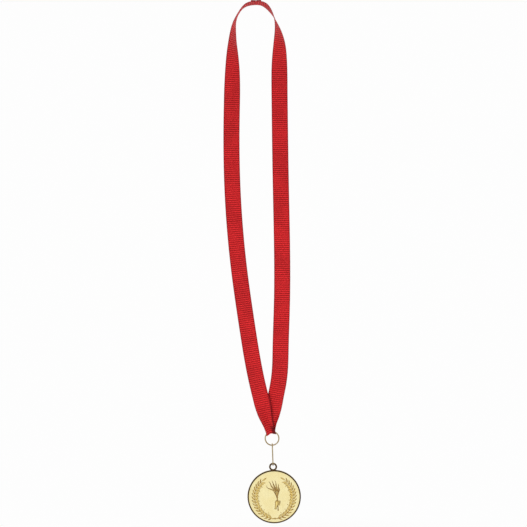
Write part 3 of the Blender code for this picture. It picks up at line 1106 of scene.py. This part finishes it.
@dataclass
class SeamThread(Piece):
    """Two-ply thread: a zigzag row through a turned-back end, and every other whip stitch of the seam."""

    body, slot = "ribbon", "sewing_thread"
    ribbon: Ribbon
    side: Side
    thread: float = 0.00036
    pitch: float = 0.0013
    row: float = 0.0030
    margin: float = 0.0008
    zigzag: float = 0.0012
    whip_pitch: float = 0.0004
    whip_slant: float = 0.00012
    whip_level: float = 0.00006
    sides: int = 6
    steps: int = 12

    def __post_init__(self) -> None:
        """Names the CAD node it stands for."""
        self.node = f"seam_thread_{self.side.name.lower()}"

    def ply(self, bm: bmesh.types.BMesh, start: Vector, end: Vector, up: Vector, turn: float) -> None:
        """Adds one of a stitch's two plies, arched between two needle holes.

        Args:
            bm: the mesh.
            start: the first hole.
            end: the second hole.
            up: away from the cloth.
            turn: where the ply starts round the thread.
        """
        side = (end - start).cross(up).normalized()
        layer = bm.loops.layers.uv.active
        corners = [2 * math.pi * j / self.sides for j in range(self.sides)]
        rings = []
        for i in range(self.steps + 1):
            share = i / self.steps
            arch = math.sin(math.pi * share) ** 0.5 * 0.95 - 0.5
            twist = turn + share * 2.2 * math.pi
            offset = (side * math.cos(twist) + up * math.sin(twist)) * self.thread * 0.24
            middle = start.lerp(end, share) + up * (arch * self.thread) + offset
            ways = [side * math.cos(corner) + up * math.sin(corner) for corner in corners]
            rings.append([bm.verts.new(middle + way * self.thread * 0.27) for way in ways])
        for i in range(self.steps):
            for j in range(self.sides):
                k = (j + 1) % self.sides
                face = bm.faces.new((rings[i][j], rings[i][k], rings[i + 1][k], rings[i + 1][j]))
                spots = ((j, i), (j + 1, i), (j + 1, i + 1), (j, i + 1))
                for loop, (u, v) in zip(face.loops, spots, strict=True):
                    loop[layer].uv = (u * self.thread * 0.5, v * self.thread * 0.4)
        bm.faces.new(rings[0][::-1])
        bm.faces.new(rings[-1])

    def stitches(self) -> Iterator[tuple[Vector, Vector, Vector]]:
        """Places this side's zigzag row, and every other whip stitch.

        Yields:
            Each stitch's two needle holes, and the way up from the cloth.
        """
        ribbon = self.ribbon
        level = ribbon.thickness / 2 + ribbon.seam_radius
        inner = level + ribbon.seam_gap / 2
        top = level + ribbon.seam_radius
        turns = int((ribbon.width - 2 * self.margin) / self.pitch)
        holes = []
        for i in range(turns + 1):
            x = self.row + self.zigzag * (i % 2 - 0.5)
            z = top + (x - inner) * math.tan(ribbon.tail_lift) + ribbon.thickness / 2
            holes.append(Vector((self.side.value * x, (i - turns / 2) * self.pitch, z)))
        for start, end in zip(holes[:-1], holes[1:], strict=True):
            yield start, end, Vector((0, 0, 1))
        count = int((ribbon.width - 2 * self.margin) / self.whip_pitch)
        reach = Vector((level, self.whip_slant, 0))
        for i in range(int(self.side is Side.LEFT), count + 1, 2):
            middle = Vector((0, (i - count / 2) * self.whip_pitch, self.whip_level))
            yield middle - reach, middle + reach, Vector((0, 0, -1))

    def build(self) -> Object:
        """Makes one side's stitches.

        Returns:
            The stitches as one object.
        """
        bm = bmesh.new()
        bm.loops.layers.uv.new("UVMap")
        for start, end, up in self.stitches():
            for turn in (0, math.pi):
                self.ply(bm, start, end, up, turn)
        mesh = bpy.data.meshes.new("seam_stitches")
        bm.to_mesh(mesh)
        bm.free()
        stitches = linked(f"seam_stitches_{self.side.name.lower()}", mesh)
        outward(stitches, 1e-7)
        smooth(stitches, 50)
        return stitches


# ---------------------------------------------------------------- wire ring and link


def close_wire(wire: Object, diameter: float) -> None:
    """Fills a bent wire's two open ends, rounds them, and shades the wire smooth.

    Args:
        wire: an open tube.
        diameter: of the wire.
    """
    with editing(wire, "EDGE"):
        bpy.ops.mesh.select_non_manifold(extend=False)
        bpy.ops.mesh.edge_face_add()
        pick(lambda face: len(face.verts) > 4, "FACE")
        bpy.ops.mesh.inset(thickness=diameter * 0.12, depth=diameter * 0.06, use_individual=True)
    outward(wire)
    smooth(wire, 50)


@dataclass
class WireRing(Piece):
    """A round ring of cut wire that stands in the XZ plane."""

    body, node, slot = "ring", "ribbon_ring", "gilt_wire"
    centre: Vector
    outside: float
    wire: float = 0.0012
    cut: float = 0.0003
    cut_angle: float = math.radians(-50)
    steps: int = 128
    sides: int = 16

    def build(self) -> Object:
        """Spins a wire's end round the ring.

        Returns:
            The ring.
        """
        radius = (self.outside - self.wire) / 2
        gap = self.cut / radius
        start = self.cut_angle + gap / 2
        place = self.centre + Vector((math.cos(start), 0, math.sin(start))) * radius
        bpy.ops.mesh.primitive_circle_add(
            vertices=self.sides, radius=self.wire / 2, location=place, rotation=(0, -start, 0)
        )
        ring = named("split_ring")
        with editing(ring):
            pick_all()
            bpy.ops.mesh.spin(steps=self.steps, angle=2 * math.pi - gap, center=self.centre, axis=(0, 1, 0))
        close_wire(ring, self.wire)
        return ring


@dataclass
class WireLink(Piece):
    """A long oval link of cut wire that stands in the YZ plane."""

    body, node, slot = "link", "medal_link", "gilt_wire"
    centre: Vector
    length: float
    width: float
    wire: float = 0.0011
    cut: float = 0.0003
    bend_steps: int = 40
    leg_steps: int = 6
    sides: int = 16

    def leg(self, way: float) -> None:
        """Leads the wire's end straight up by a length, or down."""
        for _ in range(self.leg_steps):
            extrude((0, 0, way / self.leg_steps))

    def build(self) -> Object:
        """Leads a wire's end up one leg, round the top, down, round the bottom and back to the cut.

        Returns:
            The link.
        """
        bend = (self.width - self.wire) / 2
        straight = (self.length - self.wire) / 2 - bend
        place = self.centre + Vector((0, bend, self.cut / 2))
        bpy.ops.mesh.primitive_circle_add(vertices=self.sides, radius=self.wire / 2, location=place)
        link = named("oval_link")
        with editing(link, "EDGE"):
            pick_all()
            self.leg(straight - self.cut / 2)
            for end, way in ((straight, -2 * straight), (-straight, straight - self.cut / 2)):
                pivot = self.centre + Vector((0, 0, end))
                bpy.ops.mesh.spin(steps=self.bend_steps, angle=-math.pi, center=pivot, axis=(1, 0, 0))
                self.leg(way)
        close_wire(link, self.wire)
        return link


# ---------------------------------------------------------------- medal


@dataclass
class MedalPiece(Piece):
    """A piece of the medal, modelled face up about the disc's centre."""

    body, node, slot = "medal", "medal", "gilt_medal"
    centre: Vector

    def stood_up(self, obj: Object, degrees: float) -> Object:
        """Shades a finished piece and stands it upright in its place, with its face to -Y.

        Args:
            obj: the piece, lying at the origin.
            degrees: edges sharper than this stay sharp.

        Returns:
            The same object.
        """
        smooth(obj, degrees)
        put_at(obj, self.centre, (math.pi / 2, 0, 0))
        return obj


@dataclass
class Disc(MedalPiece):
    """The struck disc with its rim, bead line, eyelet and plain back."""

    radius: float
    height: float
    thickness: float = 0.0026
    rim: float = 0.0013
    face_depth: float = 0.0005
    back_depth: float = 0.0004
    rim_round: float = 0.00115
    inner_round: float = 0.00012
    bore: float = 0.0044
    eyelet_wall: float = 0.0016
    eyelet_thickness: float = 0.0018
    neck_width: float = 0.0062
    neck_thickness: float = 0.0017
    sides: int = 192

    @property
    def face_level(self) -> float:
        """The height of the struck face."""
        return self.thickness / 2 - self.face_depth

    def blank(self) -> Object:
        """Cuts the disc in steps from a cylinder's two ends.

        Returns:
            The disc without its eyelet.
        """
        bpy.ops.mesh.primitive_cylinder_add(vertices=self.sides, radius=self.radius, depth=self.thickness)
        disc = named("disc_blank")
        front_steps = (
            (self.rim, 0.0), (0.00010, -self.face_depth), (0.00035, 0.0), (0.00012, 0.00005),
            (0.0003, 0.0), (0.00012, -0.00005), (0.0015, 0.0), (0.004, 0.00004), (0.005, 0.00006),
            (0.006, 0.00005),
        )
        back_steps = (
            (self.rim, 0.0), (0.00010, -self.back_depth), (0.0035, 0.0), (0.00012, 0.00012),
            (0.0003, 0.0), (0.00012, -0.00012), (0.004, 0.0), (0.006, 0.00003),
        )
        corners = ((self.radius, self.rim_round, 8), (self.radius - self.rim, self.inner_round, 3))
        with editing(disc, "FACE"):
            for way, steps in ((1, front_steps), (-1, back_steps)):
                pick(lambda face, w=way: face.normal.z * w > 0.9, "FACE")
                for inset, rise in steps:
                    bpy.ops.mesh.inset(thickness=inset, depth=0)
                    bpy.ops.transform.translate(value=(0, 0, way * rise))
            for radius, offset, segments in corners:
                pick(lambda edge, r=radius: self.at_corner(edge, r), "EDGE")
                bpy.ops.mesh.bevel(offset=offset, segments=segments, affect="EDGES", profile=0.5)
        return disc

    def at_corner(self, edge: bmesh.types.BMEdge, radius: float) -> bool:
        """Tells whether an edge runs round one of the rim's corners.

        Args:
            edge: of the disc.
            radius: of the corner.

        Returns:
            True for an edge of the front or the back corner.
        """
        first, second = (vert.co for vert in edge.verts)
        near = [
            abs(co.xy.length - radius) < 1e-5 and abs(abs(co.z) - self.thickness / 2) < 1e-6
            for co in (first, second)
        ]
        return all(near) and first.z * second.z > 0

    def eyelet(self) -> Object:
        """Bores the eyelet from a short cylinder.

        Returns:
            A rounded hoop, face up above the disc.
        """
        place = (0, self.height - self.bore / 2 - self.eyelet_wall, 0)
        radius = self.bore / 2 + self.eyelet_wall
        bpy.ops.mesh.primitive_cylinder_add(
            vertices=64, radius=radius, depth=self.eyelet_thickness, location=place
        )
        eyelet = named("eyelet")
        with editing(eyelet, "FACE"):
            pick(lambda face: abs(face.normal.z) > 0.9, "FACE")
            bpy.ops.mesh.inset(thickness=self.eyelet_wall, depth=0, use_individual=True)
            bpy.ops.mesh.bridge_edge_loops()
            pick(self.on_hoop, "EDGE")
            bpy.ops.mesh.bevel(offset=self.eyelet_wall * 0.36, segments=5, affect="EDGES")
        return eyelet

    @staticmethod
    def on_hoop(edge: bmesh.types.BMEdge) -> bool:
        """Tells whether an edge runs round one of the eyelet's four corners.

        Args:
            edge: of the square hoop.

        Returns:
            True for an edge between a flat side and a wall.
        """
        first, second = (vert.co.z for vert in edge.verts)
        level = abs(abs(first) - abs(second)) < 1e-6 and first * second > 0
        sides = [face.normal.z for face in edge.link_faces]
        alike = len({len(face.verts) for face in edge.link_faces}) == 1
        return level and alike and abs(sides[0] - sides[1]) > 0.5

    def neck(self) -> Object:
        """Tapers the foot that widens from the eyelet into the rim.

        Returns:
            A short block with rounded sides.
        """
        bottom, top = self.radius - 0.0008, self.radius + 0.0006
        bpy.ops.mesh.primitive_cube_add(size=1, location=(0, (top + bottom) / 2, 0))
        bpy.context.object.scale = (self.neck_width, top - bottom, self.neck_thickness)
        neck = named("neck")
        with editing(neck, "FACE"):
            pick(lambda face: face.normal.y > 0.9, "FACE")
            resize_selection((0.6, 1, 0.9), (0, top, 0))
            pick(lambda edge: abs(edge.verts[0].co.y - edge.verts[1].co.y) > 0.001, "EDGE")
            bpy.ops.mesh.bevel(offset=0.0004, segments=3, affect="EDGES")
        return neck

    def build(self) -> Object:
        """Joins blank, eyelet and neck into one metal body.

        Returns:
            The disc.
        """
        disc = self.blank()
        for tool in (self.eyelet(), self.neck()):
            outward(tool)
            apply_modifier(disc, "BOOLEAN", operation="UNION", object=tool, solver="EXACT")
            bpy.data.objects.remove(tool, do_unlink=True)
        disc.name = disc.data.name = "medal_disc"
        outward(disc)
        return self.stood_up(disc, 32)


@dataclass
class Wreath(MedalPiece):
    """Two laurel branches in low relief, with berries and a cord tie.

    The two kinds of leaf are (angle from the stem, size against the pattern).
    """

    level: float
    outer: float = 0.0205
    inner: float = 0.0184
    cut_end: float = math.radians(-7)
    first: float = math.radians(9)
    last: float = math.radians(145)
    closed: float = math.radians(70)
    pairs: int = 15
    leaf_length: float = 0.0047
    leaf_width: float = 0.0015
    outer_leaf: Row = (math.radians(27), 0.92)
    inner_leaf: Row = (math.radians(42), 1.16)
    root_away: float = 0.00022
    root_depth: float = 0.00005
    height: float = 0.00042
    columns: int = 10
    stem_steps: int = 34
    low_stem_share: float = 0.45
    berry_radius: float = 0.00046
    berry_away: float = 0.0040

    def spot(self, angle: float, side: Side, away: float = 0.0) -> Vector:
        """Finds a place on a stem, or beside it.

        Args:
            angle: up from the disc's lowest point.
            side: which branch.
            away: distance outwards from the stem.

        Returns:
            The place, at height 0.
        """
        share = min(1.0, max(0.0, angle / self.closed))
        radius = self.outer + (self.inner - self.outer) * share * share * (3 - 2 * share) + away
        return Vector((side.value * math.sin(angle), -math.cos(angle), 0)) * radius

    def leaf(self) -> Object:
        """Shapes one leaf along +X from its root: a pointed blade with a sunk midrib.

        Returns:
            The leaf, with its root at the origin.
        """
        long, wide = self.leaf_length, self.leaf_width
        bpy.ops.mesh.primitive_grid_add(
            x_subdivisions=self.columns, y_subdivisions=6, size=1, location=(long / 2, 0, 0)
        )
        bpy.context.object.scale = (long, wide, 1)
        leaf = named("leaf")
        with editing(leaf):
            for row, rise in ((0.0, 0.74), (1 / 3, 1.0), (2 / 3, 0.84)):
                pick(lambda v, r=row: abs(abs(v.co.y) / (wide / 2) - r) < 0.05)
                bpy.ops.transform.translate(value=(0, 0, rise * self.height))
            for i in range(self.columns + 1):
                share = i / self.columns
                belly = max(0.04, math.sin(math.pi * share**0.8) ** 0.75)
                crown = max(0.15, math.sin(math.pi * (0.12 + 0.8 * share)))
                pick(lambda v, s=share: abs(v.co.x / long - s) < 0.2 / self.columns)
                resize_selection((1, belly, crown), (share * long, 0, 0))
            pick_all()
            extrude((0, 0, -0.0003))
        outward(leaf)
        return leaf

    def stem(self, side: Side) -> Object:
        """Tapers a stem from its cut end past the bottom to under the last leaf.

        Args:
            side: which branch; the right one lies lower near its cut end.

        Returns:
            The stem.
        """
        rows = []
        for i in range(self.stem_steps + 1):
            share = i / self.stem_steps
            angle = self.cut_end + (self.last - self.cut_end) * share
            place = self.spot(angle, side, 0.0004 if share == 0 else 0.0) / MM
            thick = 0.42 - 0.24 * share
            rise = 0.3 if side is Side.RIGHT and share < self.low_stem_share else 0.85
            rows.append((place.x, place.y, thick, thick * rise))
        return grow("stem", rows, self.level, sides=10)

    def berry(self) -> Object:
        """Flattens one berry.

        Returns:
            The berry, half of it below height 0.
        """
        bpy.ops.mesh.primitive_uv_sphere_add(segments=12, ring_count=8, radius=self.berry_radius)
        berry = named("berry")
        with editing(berry):
            pick(lambda v: v.co.z > self.berry_radius - 0.00002)
            bpy.ops.transform.translate(value=(0, 0, -0.00005))
            pick_all()
            resize_selection((1, 1, 0.85), (0, 0, 0))
        return berry

    def tie(self) -> list[Object]:
        """Winds three turns of cord round the stems where they cross.

        Returns:
            The turns.
        """
        made = []
        middle = -self.outer / MM
        for x in (-0.62, 0.0, 0.62):
            rows = (
                (x - 0.12, middle - 0.75, 0.18, 0.1), (x, middle - 0.4, 0.3, 0.3),
                (x + 0.05, middle, 0.3, 0.42),
                (x, middle + 0.4, 0.3, 0.3), (x - 0.12, middle + 0.75, 0.18, 0.1),
            )
            made.append(grow("tie", rows, self.level, sides=8))
        return made

    def branch(self, side: Side, leaf: Object, berry: Object) -> list[Object]:
        """Sets leaves in pairs along a stem, with a berry inside every other pair.

        Args:
            side: which branch.
            leaf: the leaf to copy.
            berry: the berry to copy.

        Returns:
            The stem, the leaves and the berries.
        """
        made = [self.stem(side)]
        for i in range(self.pairs + 1):
            share = i / self.pairs
            angle = self.first + (self.last - self.first) * share
            heading = angle if side is Side.RIGHT else math.pi - angle
            small = 0.82 + 0.30 * math.sin(math.pi * (0.12 + 0.78 * share))
            for lean in (0,) if i == self.pairs else (-1, 1):
                spread, share_size = self.outer_leaf if lean > 0 else self.inner_leaf
                size = small * share_size
                root = self.spot(angle, side, lean * self.root_away)
                root.z = self.level - self.root_depth
                turn = heading - side.value * lean * spread
                made.append(copy_of(leaf, root, turn, (size, size, 1)))
            if i % 2 and i < self.pairs:
                spot = self.spot(angle + 0.05, side, -self.berry_away)
                spot.z = self.level
                made.append(copy_of(berry, spot))
        return made

    def build(self) -> Object:
        """Lays out the tie and the two branches and joins them.

        Returns:
            The wreath.
        """
        leaf, berry = self.leaf(), self.berry()
        made = self.tie()
        for side in Side:
            made += self.branch(side, leaf, berry)
        for pattern in (leaf, berry):
            bpy.data.objects.remove(pattern, do_unlink=True)
        return self.stood_up(joined("laurel_wreath", made), 40)


@dataclass
class Torch(MedalPiece):
    """A hand that holds up a burning torch, in relief. Its rows are places and half sizes in millimetres."""

    level: float
    flatness: float = 0.7
    cup_sides: int = 28

    def rod(self) -> Object:
        """Makes the handle, with its knob.

        Returns:
            The handle.
        """
        rows = (
            (3.32, -13.2, 0.30, 0.25), (3.30, -12.9, 0.62, 0.5), (3.26, -12.4, 0.66, 0.55),
            (3.23, -12.0, 0.42, 0.4), (3.18, -10.5, 0.46, 0.42), (3.0, -5.0, 0.56, 0.5),
            (2.86, -1.6, 0.62, 0.55), (2.82, -0.9, 0.66, 0.6),
        )
        return grow("rod", rows, self.level, sides=14)

    def cup(self) -> Object:
        """Makes the fluted cup with its collar and lip.

        Returns:
            The cup.
        """
        foot = ((2.84, -1.3, 0.62, 0.5), (2.83, -1.1, 1.0, 0.6), (2.81, -0.8, 1.0, 0.6))
        walls = (
            (2.79, -0.55, 0.72, 0.45), (2.72, 0.5, 1.05, 0.55), (2.62, 1.6, 1.55, 0.6),
            (2.52, 2.7, 1.98, 0.62), (2.44, 3.5, 2.22, 0.62),
        )
        lip = ((2.43, 3.62, 2.5, 0.85), (2.40, 4.1, 2.56, 0.9), (2.39, 4.25, 2.2, 0.75))
        cup = grow("cup", (*foot, *walls, *lip), self.level, sides=self.cup_sides)
        with editing(cup):
            for wall in walls:
                pick(lambda vert, s=Station(*wall): self.on_flute(vert, s))
                resize_selection((0.9, 1, 0.8), (wall[0] * MM, wall[1] * MM, self.level))
        return cup

    def on_flute(self, vert: bmesh.types.BMVert, wall: Station) -> bool:
        """Tells whether a point of the cup's wall lies in the bottom of a flute.

        Args:
            vert: a point of the cup.
            wall: the station to look at.

        Returns:
            True for every other corner of the station's upper half.
        """
        across = (vert.co.x / MM - wall.x) / wall.wide
        up = (vert.co.z - self.level) / MM / wall.high
        corner = round(math.atan2(up, across) / (2 * math.pi / self.cup_sides))
        return abs(vert.co.y / MM - wall.y) < 0.3 and up > 0.02 and corner % 2 == 1

    def rounded(self, name: str, rows: Sequence[Row], sides: int) -> Object:
        """Grows a shape and rounds it by one level of subdivision.

        Args:
            name: of the object.
            rows: its stations.
            sides: corners of its ring.

        Returns:
            The rounded shape.
        """
        made = grow(name, rows, self.level, sides)
        apply_modifier(made, "SUBSURF", levels=1, render_levels=1)
        return made

    def flames(self) -> list[Object]:
        """Makes six tongues blown to one side, from rows of places and widths.

        Returns:
            The tongues.
        """
        tongues = (
            ((1.3, 4.0, 1.1), (0.1, 5.4, 1.2), (-1.8, 6.8, 1.1), (-3.9, 7.5, 0.85), (-5.7, 8.0, 0.6),
             (-6.8, 9.4, 0.45), (-6.9, 11.2, 0.1)),
            ((1.7, 4.2, 1.2), (0.6, 6.4, 1.35), (-0.9, 8.4, 1.25), (-2.5, 10.0, 0.95), (-2.9, 11.8, 0.7),
             (-3.6, 13.6, 0.45), (-5.2, 14.6, 0.1)),
            ((2.3, 4.2, 1.2), (1.8, 6.6, 1.4), (0.8, 9.0, 1.25), (-0.3, 11.0, 0.95), (-0.5, 12.8, 0.65),
             (-1.3, 14.4, 0.35), (-2.0, 15.8, 0.08)),
            ((2.9, 4.2, 1.2), (3.0, 6.6, 1.3), (2.6, 8.8, 1.15), (2.0, 10.8, 0.9), (2.2, 12.6, 0.6),
             (1.6, 14.3, 0.35), (0.9, 15.6, 0.08)),
            ((3.6, 4.2, 1.0), (4.2, 6.0, 1.1), (4.4, 7.8, 0.95), (4.1, 9.4, 0.7), (4.5, 11.0, 0.42),
             (4.2, 12.4, 0.08)),
            ((4.2, 4.1, 0.7), (5.1, 5.4, 0.75), (5.4, 6.8, 0.55), (5.2, 8.0, 0.3), (5.5, 9.2, 0.07)),
        )
        made = []
        for order, tongue in enumerate(tongues):
            rise = 0.62 - 0.06 * (order % 3)
            rows = [(x, y, wide * 0.62, max(0.07, rise * min(1.0, wide + 0.15))) for x, y, wide in tongue]
            made.append(self.rounded(f"flame_{order}", rows, 12))
        return made

    def hand(self) -> list[Object]:
        """Closes a hand round the handle, above its wrist.

        Returns:
            The wrist, the thumb and four fingers.
        """
        wrist = (
            (0.7, -11.9, 0.85, 0.6), (0.85, -11.2, 1.05, 0.85), (1.2, -9.6, 1.0, 0.9), (1.6, -8.3, 1.3, 0.95),
            (2.0, -7.0, 1.6, 1.0), (2.2, -5.4, 1.7, 1.0), (2.2, -4.2, 1.3, 0.8), (2.2, -3.7, 0.7, 0.3),
        )
        thumb = (
            (0.9, -6.6, 0.5, 0.5), (0.8, -5.4, 0.56, 0.75), (1.2, -4.2, 0.5, 0.85), (2.0, -3.5, 0.44, 0.85),
            (2.7, -3.4, 0.2, 0.5),
        )
        made = [self.rounded("wrist", wrist, 14), self.rounded("thumb", thumb, 10)]
        for i in range(4):
            y, reach = -4.3 - 1.15 * i, 5.8 - 0.1 * i * i
            finger = (
                (1.9, y - 0.1, 0.42, 0.8), (3.0, y, 0.56, 1.02), (4.0, y + 0.05, 0.58, 1.0),
                (4.8, y, 0.56, 0.82), (reach, y - 0.1, 0.4, 0.5), (reach + 0.25, y - 0.15, 0.12, 0.15),
            )
            made.append(self.rounded("finger", finger, 10))
        return made

    def build(self) -> Object:
        """Joins handle, cup, flames and hand, and flattens them into relief.

        Returns:
            The torch.
        """
        torch = joined("torch_relief", [self.rod(), self.cup(), *self.flames(), *self.hand()])
        with editing(torch):
            pick_all()
            resize_selection((1, 1, self.flatness), (0, 0, self.level))
        return self.stood_up(torch, 45)


# ---------------------------------------------------------------- studio


class Softbox(NamedTuple):
    """A square soft light: its place, what it is aimed at, its side and its power."""

    name: str
    place: Row
    aim: Row
    size: float
    power: float


SOFTBOXES = (
    Softbox("key_softbox", (-0.55, -0.50, -0.26), (0, 0, -0.36), 0.22, 0.62),
    Softbox("upper_softbox", (0.45, -0.50, 0.04), (0, 0, -0.03), 0.3, 1.45),
    Softbox("low_softbox", (0.05, -0.62, -0.55), (0, 0, 0), 0.3, 2.0),
    Softbox("top_softbox", (-0.5, -0.2, 1.0), (0, 0, -0.25), 1.0, 1.5),
)


@dataclass
class Studio:
    """Camera, light and pale surroundings. A glow is (from, to, strength there, strength past it)."""

    eye: Row = (-0.002, -1.0, -0.2437)
    lens: float = 73.0
    roll: float = math.radians(-2.1)
    floor_level: float = -0.62
    floor_fade: Row = (0.1, 0.6, 0.5, 1.0)
    pale: Row = (0.86, 0.86, 0.86)
    white: Row = (0.985, 0.985, 0.985)
    plain_tint: Row = (0.8, 0.8, 0.8)
    dim_tint: Row = (0.95, 0.55, 0.2)
    bright_way: Row = (0.0, -0.977, -0.213)
    ahead: Row = (0.70, 0.92, 0.0, 1.15)
    beside: Row = (0.70, 0.50, 0.12, 0.60)
    behind: Row = (0.35, 0.8, 0.0, 0.8)
    above: Row = (0.75, 0.97, 0.0, 0.5)
    tent: Row = (-0.45, 0.4, 0.20, 1.05)

    def camera(self) -> None:
        """Sets a level camera at half the height, with the slight lean of a hand-held one."""
        data = bpy.data.cameras.new("studio_camera")
        data.lens = self.lens
        data.sensor_width = 36.0
        data.dof.use_dof = False
        camera = linked("studio_camera", data)
        camera.rotation_mode = "QUATERNION"
        camera.location = self.eye
        camera.rotation_quaternion = Quaternion((1, 0, 0), math.pi / 2) @ Quaternion((0, 0, 1), self.roll)
        bpy.context.scene.camera = camera

    def lights(self) -> None:
        """Sets the soft lights, which no metal mirrors."""
        for box in SOFTBOXES:
            data = bpy.data.lights.new(box.name, "AREA")
            data.size = box.size
            data.energy = box.power
            light = linked(box.name, data)
            light.location = box.place
            light.visible_glossy = False
            aim = Vector(box.aim) - Vector(box.place)
            light.rotation_euler = aim.to_track_quat("-Z", "Y").to_euler()

    def world(self) -> None:
        """White to the camera, a tent to matt things, and to metal bright ahead and dim at the sides."""
        world = bpy.data.worlds.new("studio_world")
        world.use_nodes = True
        bpy.context.scene.world = world
        graph = Graph(world.node_tree)
        seen = world.node_tree.nodes["Background"]
        graph.fill(seen, {"Color": self.white})
        way = graph.node("ShaderNodeTexCoord").outputs["Generated"]
        _, depth, height = graph.split(way)
        toward = graph.vector("DOT_PRODUCT", way, self.bright_way)["Value"]
        front = graph.math("ADD", graph.ramp(toward, *self.ahead), graph.ramp(toward, *self.beside))
        rest = graph.math("ADD", graph.ramp(depth, *self.behind), graph.ramp(height, *self.above))
        mirrored = graph.math("ADD", front, rest)
        path = graph.node("ShaderNodeLightPath").outputs
        matt = graph.math("SUBTRACT", 1.0, path["Is Glossy Ray"])
        tent = graph.times(matt, graph.ramp(depth, *self.tent))
        strength = graph.line(mirrored, path["Is Glossy Ray"], tent)
        plain = graph.math("MAXIMUM", mirrored, matt, clamp=True)
        tint = graph.mix(plain, self.dim_tint, self.plain_tint)
        lit = graph.node("ShaderNodeBackground", {"Color": tint, "Strength": strength}).outputs[0]
        both = graph.blend(path["Is Camera Ray"], lit, seen.outputs[0])
        graph.put(both, world.node_tree.nodes["World Output"].inputs["Surface"])

    def floor(self) -> None:
        """Lays a plain pale floor far below, that fades into the white backdrop."""
        bpy.ops.mesh.primitive_plane_add(size=8, location=(0, 0, self.floor_level))
        floor = named("studio_floor")
        material, graph, shader = new_material("pale_floor")
        graph.fill(shader, {"Base Color": self.pale, "Roughness": 0.9, "Specular IOR Level": 0.0})
        coords = graph.node("ShaderNodeTexCoord").outputs["Object"]
        away = graph.vector("LENGTH", graph.vector("MULTIPLY", coords, (1, 1, 0))[0])["Value"]
        path = graph.node("ShaderNodeLightPath").outputs
        fade = graph.times(graph.ramp(away, *self.floor_fade), path["Is Camera Ray"])
        glow = graph.node("ShaderNodeEmission", {"Color": self.white}).outputs[0]
        clear = graph.node("ShaderNodeBsdfTransparent").outputs[0]
        seen = graph.blend(path["Is Glossy Ray"], graph.blend(fade, shader.outputs[0], glow), clear)
        graph.put(seen, material.node_tree.nodes["Material Output"].inputs["Surface"])
        floor.data.materials.append(material)

    def build(self) -> None:
        """Sets up the whole studio."""
        self.camera()
        self.world()
        self.floor()
        self.lights()
        bpy.context.scene.view_settings.view_transform = "Standard"


# ---------------------------------------------------------------- assembly


def main() -> None:
    """Builds every piece around the frame and dresses it."""
    logging.basicConfig(level=logging.INFO, format="%(message)s")
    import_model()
    medal_low, medal_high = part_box("medal")
    ring_low, ring_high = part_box("ribbon_ring")
    link_low, link_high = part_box("medal_link")
    deselect()

    ribbon = Ribbon()
    ring_centre = (ring_low + ring_high) / 2
    ring_centre.y = 0
    ring = WireRing(ring_centre, ring_high.z - ring_low.z)
    link = WireLink((link_low + link_high) / 2, link_high.z - link_low.z, link_high.y - link_low.y)
    radius = (medal_high.x - medal_low.x) / 2
    centre = Vector((0, 0, medal_low.z + radius))
    disc = Disc(centre, radius, medal_high.z - centre.z)
    level = disc.face_level

    red = ClothFinish(
        name="red_grosgrain",
        crest=(0.84, 0.027, 0.031),
        # painted shade in the rib grooves
        groove=(0.35, 0.005, 0.008),
        selvedge=(0.30, 0.004, 0.010),
        # colour of the painted shadow and shade
        painted_shade=(0.07, 0.0, 0.003),
        roughness=0.78,
        sheen=0.30,
        bump=0.00010,
        rib_pitch=ribbon.rib_pitch,
        yarn_pitch=0.00034,
        width=ribbon.width,
    )
    thread_red = ClothFinish(
        name="red_sewing_thread",
        crest=(0.75, 0.025, 0.03),
        # painted shade in the thread's grooves
        groove=(0.45, 0.01, 0.014),
        selvedge=(0.75, 0.025, 0.03),
        painted_shade=(0.75, 0.025, 0.03),
        roughness=0.6,
        sheen=0.2,
        bump=0.00003,
        rib_pitch=0.0004,
        yarn_pitch=0.00012,
        width=0.01,
    )
    ring_gilt = GiltFinish(
        name="pale_gilt_ring",
        tone=Tone.DRAWN,
        centre=tuple(ring.centre),
        bright=(0.64, 0.55, 0.33),
        warm=(0.54, 0.45, 0.25),
        roughness=0.26,
        grain_scale=2600.0,
        bump=0.000004,
    )
    link_gilt = replace(ring_gilt, name="pale_gilt_link", centre=tuple(link.centre))
    wreath_gilt = GiltFinish(
        name="gilt_laurel_wreath",
        tone=Tone.STRUCK,
        centre=tuple(centre),
        bright=(0.90, 0.72, 0.27),
        warm=(0.88, 0.66, 0.20),
        roughness=0.24,
        grain_scale=3600.0,
        bump=0.00002,
        # patina and painted shade on the lower sides of leaves and stems
        brown=(0.27, 0.10, 0.012),
        brown_low=level + 0.00002,
        brown_high=level + 0.00034,
        patina_and_shade=0.66,
    )
    disc_gilt = replace(
        wreath_gilt,
        name="gilt_medal_disc",
        bright=(0.93, 0.83, 0.46),
        warm=(0.90, 0.78, 0.40),
        # patina and painted shade in the corner at the rim's foot
        brown=(0.10, 0.055, 0.018),
        # painted dark reflection on the rim and the eyelet
        rim_painted_reflection=(0.085, 0.055, 0.018),
        rim_start=disc.radius - disc.rim - 0.0001,
        rim_full=disc.radius - disc.rim + 0.0001,
    )
    torch_gilt = replace(
        wreath_gilt,
        name="gilt_torch_relief",
        # patina and painted shade on the lower sides of the torch and hand
        brown=(0.17, 0.055, 0.008),
        brown_low=level + 0.00010,
        brown_high=level + 0.00070,
        patina_and_shade=0.78,
    )

    weave, grain, rub = weave_group(), grain_group(), rub_group()
    strip = ribbon.make(red.material(weave, grain))
    thread = thread_red.material(weave, grain)
    for side in Side:
        SeamThread(ribbon, side).make(thread)
    hoop = ring.make(ring_gilt.material(grain, rub))
    link.make(link_gilt.material(grain, rub))
    disc.make(disc_gilt.material(grain, rub))
    Wreath(centre, level).make(wreath_gilt.material(grain, rub))
    Torch(centre, level).make(torch_gilt.material(grain, rub))

    Studio().build()


if __name__ == "__main__":
    main()
